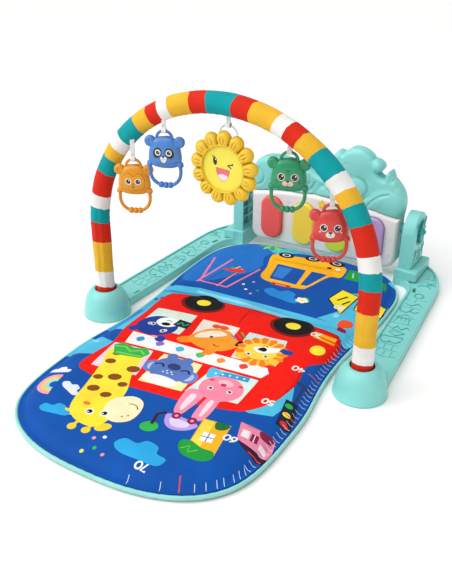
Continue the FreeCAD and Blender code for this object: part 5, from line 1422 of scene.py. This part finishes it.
# Clear polycarbonate: water-white, polished by the mould, with slight flow lines.
clear = new_material("clear_polycarbonate_ring")
clear_place = add_node(clear, "ShaderNodeTexCoord")
clear_flow = add_node(clear, "ShaderNodeTexNoise", {"Vector": clear_place.outputs["Object"], "Scale": 240.0,
                                                    "Detail": 2.0})
clear_rough = add_node(clear, "ShaderNodeMapRange", {0: clear_flow.outputs[0], 3: 0.05, 4: 0.16})
clear_tone = add_node(clear, "ShaderNodeMix", {0: clear_flow.outputs[0], 6: linear("#d9dddd"), 7: linear("#f2f4f4")},
                      {"data_type": "RGBA"})
clear_skin = add_node(clear, "ShaderNodeBsdfPrincipled", {
    "Base Color": clear_tone.outputs[2], "Roughness": clear_rough.outputs[0], "Transmission Weight": 0.75,
                                                          "IOR": 1.58})
add_node(clear, "ShaderNodeOutputMaterial", {"Surface": clear_skin.outputs[0]})
finish_node("sun_ring", clear)

# ---- kick piano ----
# A white ABS keyboard box with four sprung keys and a star button, closed by a back moulding in teal. The keys are
# moulded in two shots: a pale cap over a deeper skirt. Small flowers and dots stand proud of the box's margins.
box_white = moulded_plastic("moulded_white_abs", "#efecea", "#e4e0de", 0.42, 0.05, 1000.0)
finish_node("piano_front_panel", box_white)
finish_node("piano_back_shell", teal)
finish_node("battery_door", teal)
finish_node("piano_screws", zinc)
for name, cap_hue, cap_shade, skirt_hue in (
        ("key_red", "#f4635a", "#ee5149", "#e2391d"), ("key_yellow", "#f4dc50", "#efd23f", "#e3bd22"),
        ("key_lime", "#c9e34c", "#bfdc3e", "#93bf22"), ("key_purple", "#bb9fd0", "#b092c8", "#8a68a8"),
        ("star_button", "#f6d84c", "#f0cc38", "#dcae1e")):
    key_abs = moulded_plastic(name + "_two_shot_abs", cap_hue, cap_shade, 0.36, 0.06, 1000.0)
    tree = key_abs.node_tree
    skirt_place = add_node(key_abs, "ShaderNodeTexCoord")
    skirt_axes = add_node(key_abs, "ShaderNodeSeparateXYZ", {0: skirt_place.outputs["Object"]})
    front_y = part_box(name)[0][1]
    skirt_share = add_node(key_abs, "ShaderNodeMapRange",
                           {0: skirt_axes.outputs[1], 1: front_y + 0.0048, 2: front_y + 0.0054,
                                                           3: 0.0, 4: 1.0})
    body_skin = next(node for node in tree.nodes if node.type == "BSDF_PRINCIPLED")
    cap_tone = body_skin.inputs["Base Color"].links[0].from_socket
    two_tone = add_node(key_abs, "ShaderNodeMix", {0: skirt_share.outputs[0], 6: cap_tone, 7: linear(skirt_hue)},
                        {"data_type": "RGBA"})
    tree.links.new(two_tone.outputs[2], body_skin.inputs["Base Color"])
    finish_node(name, key_abs)

PANEL_FACE = 378.0


def panel_front(x, z):
    return Vector((x, PANEL_FACE, z)) * 0.001, Vector((0, -1, 0))


def flower_runs(x, z, size):
    """A five-petalled outline flower with its eye."""
    return [bow(x + size * math.cos(a), z + size * math.sin(a), size * 0.62, 0, 360, 9)
            for a in (0.3 + 2 * math.pi * k / 5 for k in range(5))] + [bow(x, z, size * 0.34, 0, 360, 7)]


margin_runs = []
for side in (-1, 1):
    margin_runs += flower_runs(side * 141, 78, 2.6) + flower_runs(side * 143.5, 46, 1.8)
    for dot_x, dot_z in ((138, 68), (145, 66), (140, 58), (146, 88), (138, 92), (144, 98), (141, 106), (147, 56),
                         (139, 38), (146, 104)):
        margin_runs.append(bow(side * dot_x, dot_z, 0.5, 0, 360, 6))
for gap_x in (-71, 71):
    margin_runs += flower_runs(gap_x, 112, 2.0)
    margin_runs += [bow(gap_x + dot_x, dot_z, 0.5, 0, 360, 6) for dot_x,
                    dot_z in ((-5, 104), (4, 101), (0, 95), (6, 118), (-6, 119))]
verts, faces = raised_line(margin_runs, panel_front, 0.0009, 0.00055)
mesh_piece("piano_margin_flowers", verts, faces, box_white, "piano")

# ---- animal cover ----
# One teal moulding screwed over the top of the keyboard box: two plump animals lying asleep, a young hippo on the
# left and a horned rhino on the right, with deep creases between cheek, arm and haunch.


def flowing(points, steps=6):
    """A smooth open run through the points."""
    ends = [tuple(2 * a - b for a, b in zip(points[0], points[1]))] + list(points)
    ends.append(tuple(2 * a - b for a, b in zip(points[-1], points[-2])))
    made = []
    for n in range(1, len(ends) - 2):
        a, b, c, d = (Vector(ends[n + k - 1]) for k in range(4))
        for k in range(steps):
            t = k / steps
            p = 0.5 * (2 * b + (c - a) * t + (2 * a - 5 * b + 4 * c - d) * t * t + (3 * b - a - 3 * c + d) * t ** 3)
            made.append((p.x, p.y))
    return made


RIDGE = (flowing([(-155, 119.3), (-160, 135), (-159, 156), (-152, 178), (-140, 189), (-124, 194), (-102, 195),
                  (-80, 193),
                  (-58, 188), (-38, 181), (-22, 173.5), (-8, 170), (2, 173), (8, 178)])
         + flowing([(8, 178), (5.5, 189), (7, 200), (8.5, 210), (12, 217), (16, 224), (21, 228), (26.5, 228.5),
                    (31, 226),
                    (36, 231), (42, 235), (49, 238), (57, 239), (67, 238.4), (75, 235), (83, 229.5), (90, 222)])
         + flowing([(90, 222), (96, 223.5), (103, 221), (108.5, 216), (110, 210), (108, 203), (100, 198)])
         + flowing([(100, 198), (104, 194), (110, 190.5), (115, 190), (117, 195), (119, 201), (123.5, 207),
                    (127, 203),
                    (129, 198), (130.5, 195), (132, 191)])
         + flowing([(132, 191), (136.5, 189.5), (140, 185), (143, 181), (148.5, 175), (152, 168), (156, 160),
                    (157.5, 150),
                    (157.3, 137), (155, 119.3)]))
SILL_R, SILL_DROP = 715.1, 578.8  # the lower edge is one arc: its radius, and its centre's depth below the floor
LOWER_ARC = [(x, -SILL_DROP + math.sqrt(SILL_R ** 2 - x * x)) for x in range(155, -155, -6)]
COVER = RIDGE + LOWER_ARC
# Swellings of the two bodies: middle, half width and height, turn in degrees, how proud, and how steep the edge is.
SWELLS = [
    (-116, 160, 46, 38, 0, 5.0, 0.8), (-136, 140, 26, 24, 20, 3.5, 0.7), (-118, 168, 27, 22, -10, 3.0, 0.9),
    (-66, 158, 42, 34, -8, 3.5, 0.9), (-58, 157, 25, 25, 0, 4.5, 0.45), (-48, 136, 24, 9, 8, 5.5, 0.5),
    (10, 150, 30, 11, 28, 5.0, 0.5), (20, 141, 30, 7, 4, 5.5, 0.5),
    (52, 206, 42, 34, -12, 5.5, 0.9), (18, 214, 12, 16, 10, 4.0, 0.8), (30, 196, 20, 17, 25, 2.5, 0.9),
    (62, 163, 25, 23, 0, 8.5, 0.5), (36, 150, 24, 12, 30, 5.5, 0.6),
    (112, 168, 48, 36, -20, 3.5, 0.9), (126, 146, 34, 27, -14, 8.0, 0.5), (96, 140, 30, 14, 36, 6.5, 0.5),
    (101, 211, 9, 11, 0, 4.0, 0.6), (123, 199, 6, 10, 0, 3.5, 0.6), (137, 185, 6, 6, 0, 3.0, 0.6),
]
CREASES = [
    (flowing([(-141, 170), (-133, 163), (-129, 153), (-133, 142), (-142, 135), (-154, 131)]), 2.6, 2.0),
    (flowing([(-20, 160), (-28, 146), (-39, 130)]), 2.4, 1.9),
           (flowing([(-33, 172), (-31, 160), (-38, 149)]), 2.2, 1.7),
    (flowing([(129, 165), (112, 158), (97, 145), (84, 126)]), 2.8, 2.0),
    (flowing([(67, 187), (80, 180), (86, 167), (82, 155), (73, 146)]), 2.4, 1.8),
    (flowing([(37.5, 205.5), (39.5, 209), (43.5, 210.6), (47.6, 209.5), (50.5, 206)]), 1.1, 1.1),
    (flowing([(-8, 158), (4, 152), (22, 147), (34, 143)]), 2.0, 1.6),
           (flowing([(88, 224), (95, 215), (97, 205), (100, 199)]), 1.2, 1.4),
    (flowing([(-118, 186), (-112, 190), (-104, 190)]), 0.8, 1.0),
           (flowing([(13, 222), (15, 218), (13, 214)]), 0.7, 1.0),
]


def spread_run(points, step):
    """Points of an open run, no more than a step apart."""
    made = []
    for (x0, z0), (x1, z1) in zip(points, points[1:]):
        count = max(1, math.ceil(math.hypot(x1 - x0, z1 - z0) / step))
        made += [(x0 + (x1 - x0) * k / count, z0 + (z1 - z0) * k / count) for k in range(count)]
    return made + [points[-1]]


rim_points = [Vector((x, z, 0)) for x, z in spread_run(RIDGE, 1.0)]
rim_tree = kdtree.KDTree(len(rim_points))
for n, p in enumerate(rim_points):
    rim_tree.insert(p, n)
rim_tree.balance()
crease_points = [(Vector((x, z, 0)), depth, wide) for run, depth, wide in CREASES for x, z in spread_run(run, 0.7)]
crease_tree = kdtree.KDTree(len(crease_points))
for n, (p, _, _) in enumerate(crease_points):
    crease_tree.insert(p, n)
crease_tree.balance()
COVER_BACK, COVER_FACE = 398.0, 385.5


def above_sill(x, z):
    """Height above the cover's lower edge."""
    return z + SILL_DROP - math.sqrt(SILL_R ** 2 - x * x)


def cover_front(x, z):
    """How far the cover's outside stands in front of the keyboard box's back edge, in millimetres."""
    _, _, rim = rim_tree.find(Vector((x, z, 0)))
    sill = max(above_sill(x, z), 0.0)
    roundness = min(rim / 9.0, 1.0)
    base = COVER_BACK - COVER_FACE
    high = (base - 7.5) + 7.5 * (1 - (1 - roundness) ** 2.4) ** 0.5
    proud = 0.0
    for mid_x, mid_z, half_x, half_z, turned, up, edge in SWELLS:
        c, s = math.cos(math.radians(turned)), math.sin(math.radians(turned))
        u = ((x - mid_x) * c + (z - mid_z) * s) / half_x
        w = (-(x - mid_x) * s + (z - mid_z) * c) / half_z
        t = u * u + w * w
        if t < 1:
            lift = up * (1 - t) ** edge
            proud = max(proud, lift) + 0.25 * min(proud, lift)
    high += proud * (1 - (1 - roundness) ** 2)
    p, n, off = crease_tree.find(Vector((x, z, 0)))
    depth, wide = crease_points[n][1:]
    if off < wide * 2.5:
        high -= depth * math.exp(-(off / wide) ** 2) * min(1.0, rim / 3.0)
    high -= 1.6 * max(1.0 - sill / 2.4, 0.0) ** 2
    return min(high, 22.6)


def cover_back(x, z):
    _, _, rim = rim_tree.find(Vector((x, z, 0)))
    return max(cover_front(x, z) - 2.5, 0.0) if min(rim, above_sill(x, z)) > 4.0 else 0.0


cover = relief("piano_sleeping_animals", [("#8edbd5", evened(COVER, 1.6))], 1, 1.75, cover_front, cover_back)
cover.data.transform(Matrix.Translation((0, COVER_BACK * 0.001, 0)))
bpy.ops.object.shade_smooth_by_angle(angle=math.radians(70))
cover.data.materials.append(teal)
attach(cover, "piano")
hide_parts("piano_animal_cover")

# ---- tilt knobs ----
# A hand knob in deeper teal sits in each post's round recess and clamps the piano at the chosen tilt.
deep_teal = moulded_plastic("moulded_deep_teal_polypropylene", "#2fa7a4", "#229894", 0.38, 0.06)
finish_node("tilt_knob_left", deep_teal)
finish_node("tilt_knob_right", deep_teal)

# ---- works of the piano ----
# Inside lie a green glass-epoxy board, a silicone contact sheet under the keys, a paper-coned speaker, a slide
# switch, three cells with printed jackets, and their nickel-plated springs.
silicone = moulded_plastic("moulded_silicone_membrane", "#d8d8d6", "#c8c8c6", 0.62, 0.2, 700.0)
finish_node("key_membrane", silicone)
laminate = moulded_plastic("green_glass_epoxy_board", "#1f7d45", "#176437", 0.35, 0.0, 1600.0)
finish_node("circuit_board", laminate)
cone = moulded_plastic("black_paper_speaker_cone", "#26262a", "#191a1d", 0.8, 0.0, 500.0)
finish_node("speaker", cone)
nylon = moulded_plastic("black_nylon_slide_switch", "#1d1e20", "#151617", 0.5, 0.0)
finish_node("power_switch", nylon)
jacket = moulded_plastic("printed_shrink_jacket", "#3a3d42", "#2b2d31", 0.3, 0.0, 900.0)
finish_node("batteries", jacket)
finish_node("battery_contacts", zinc)
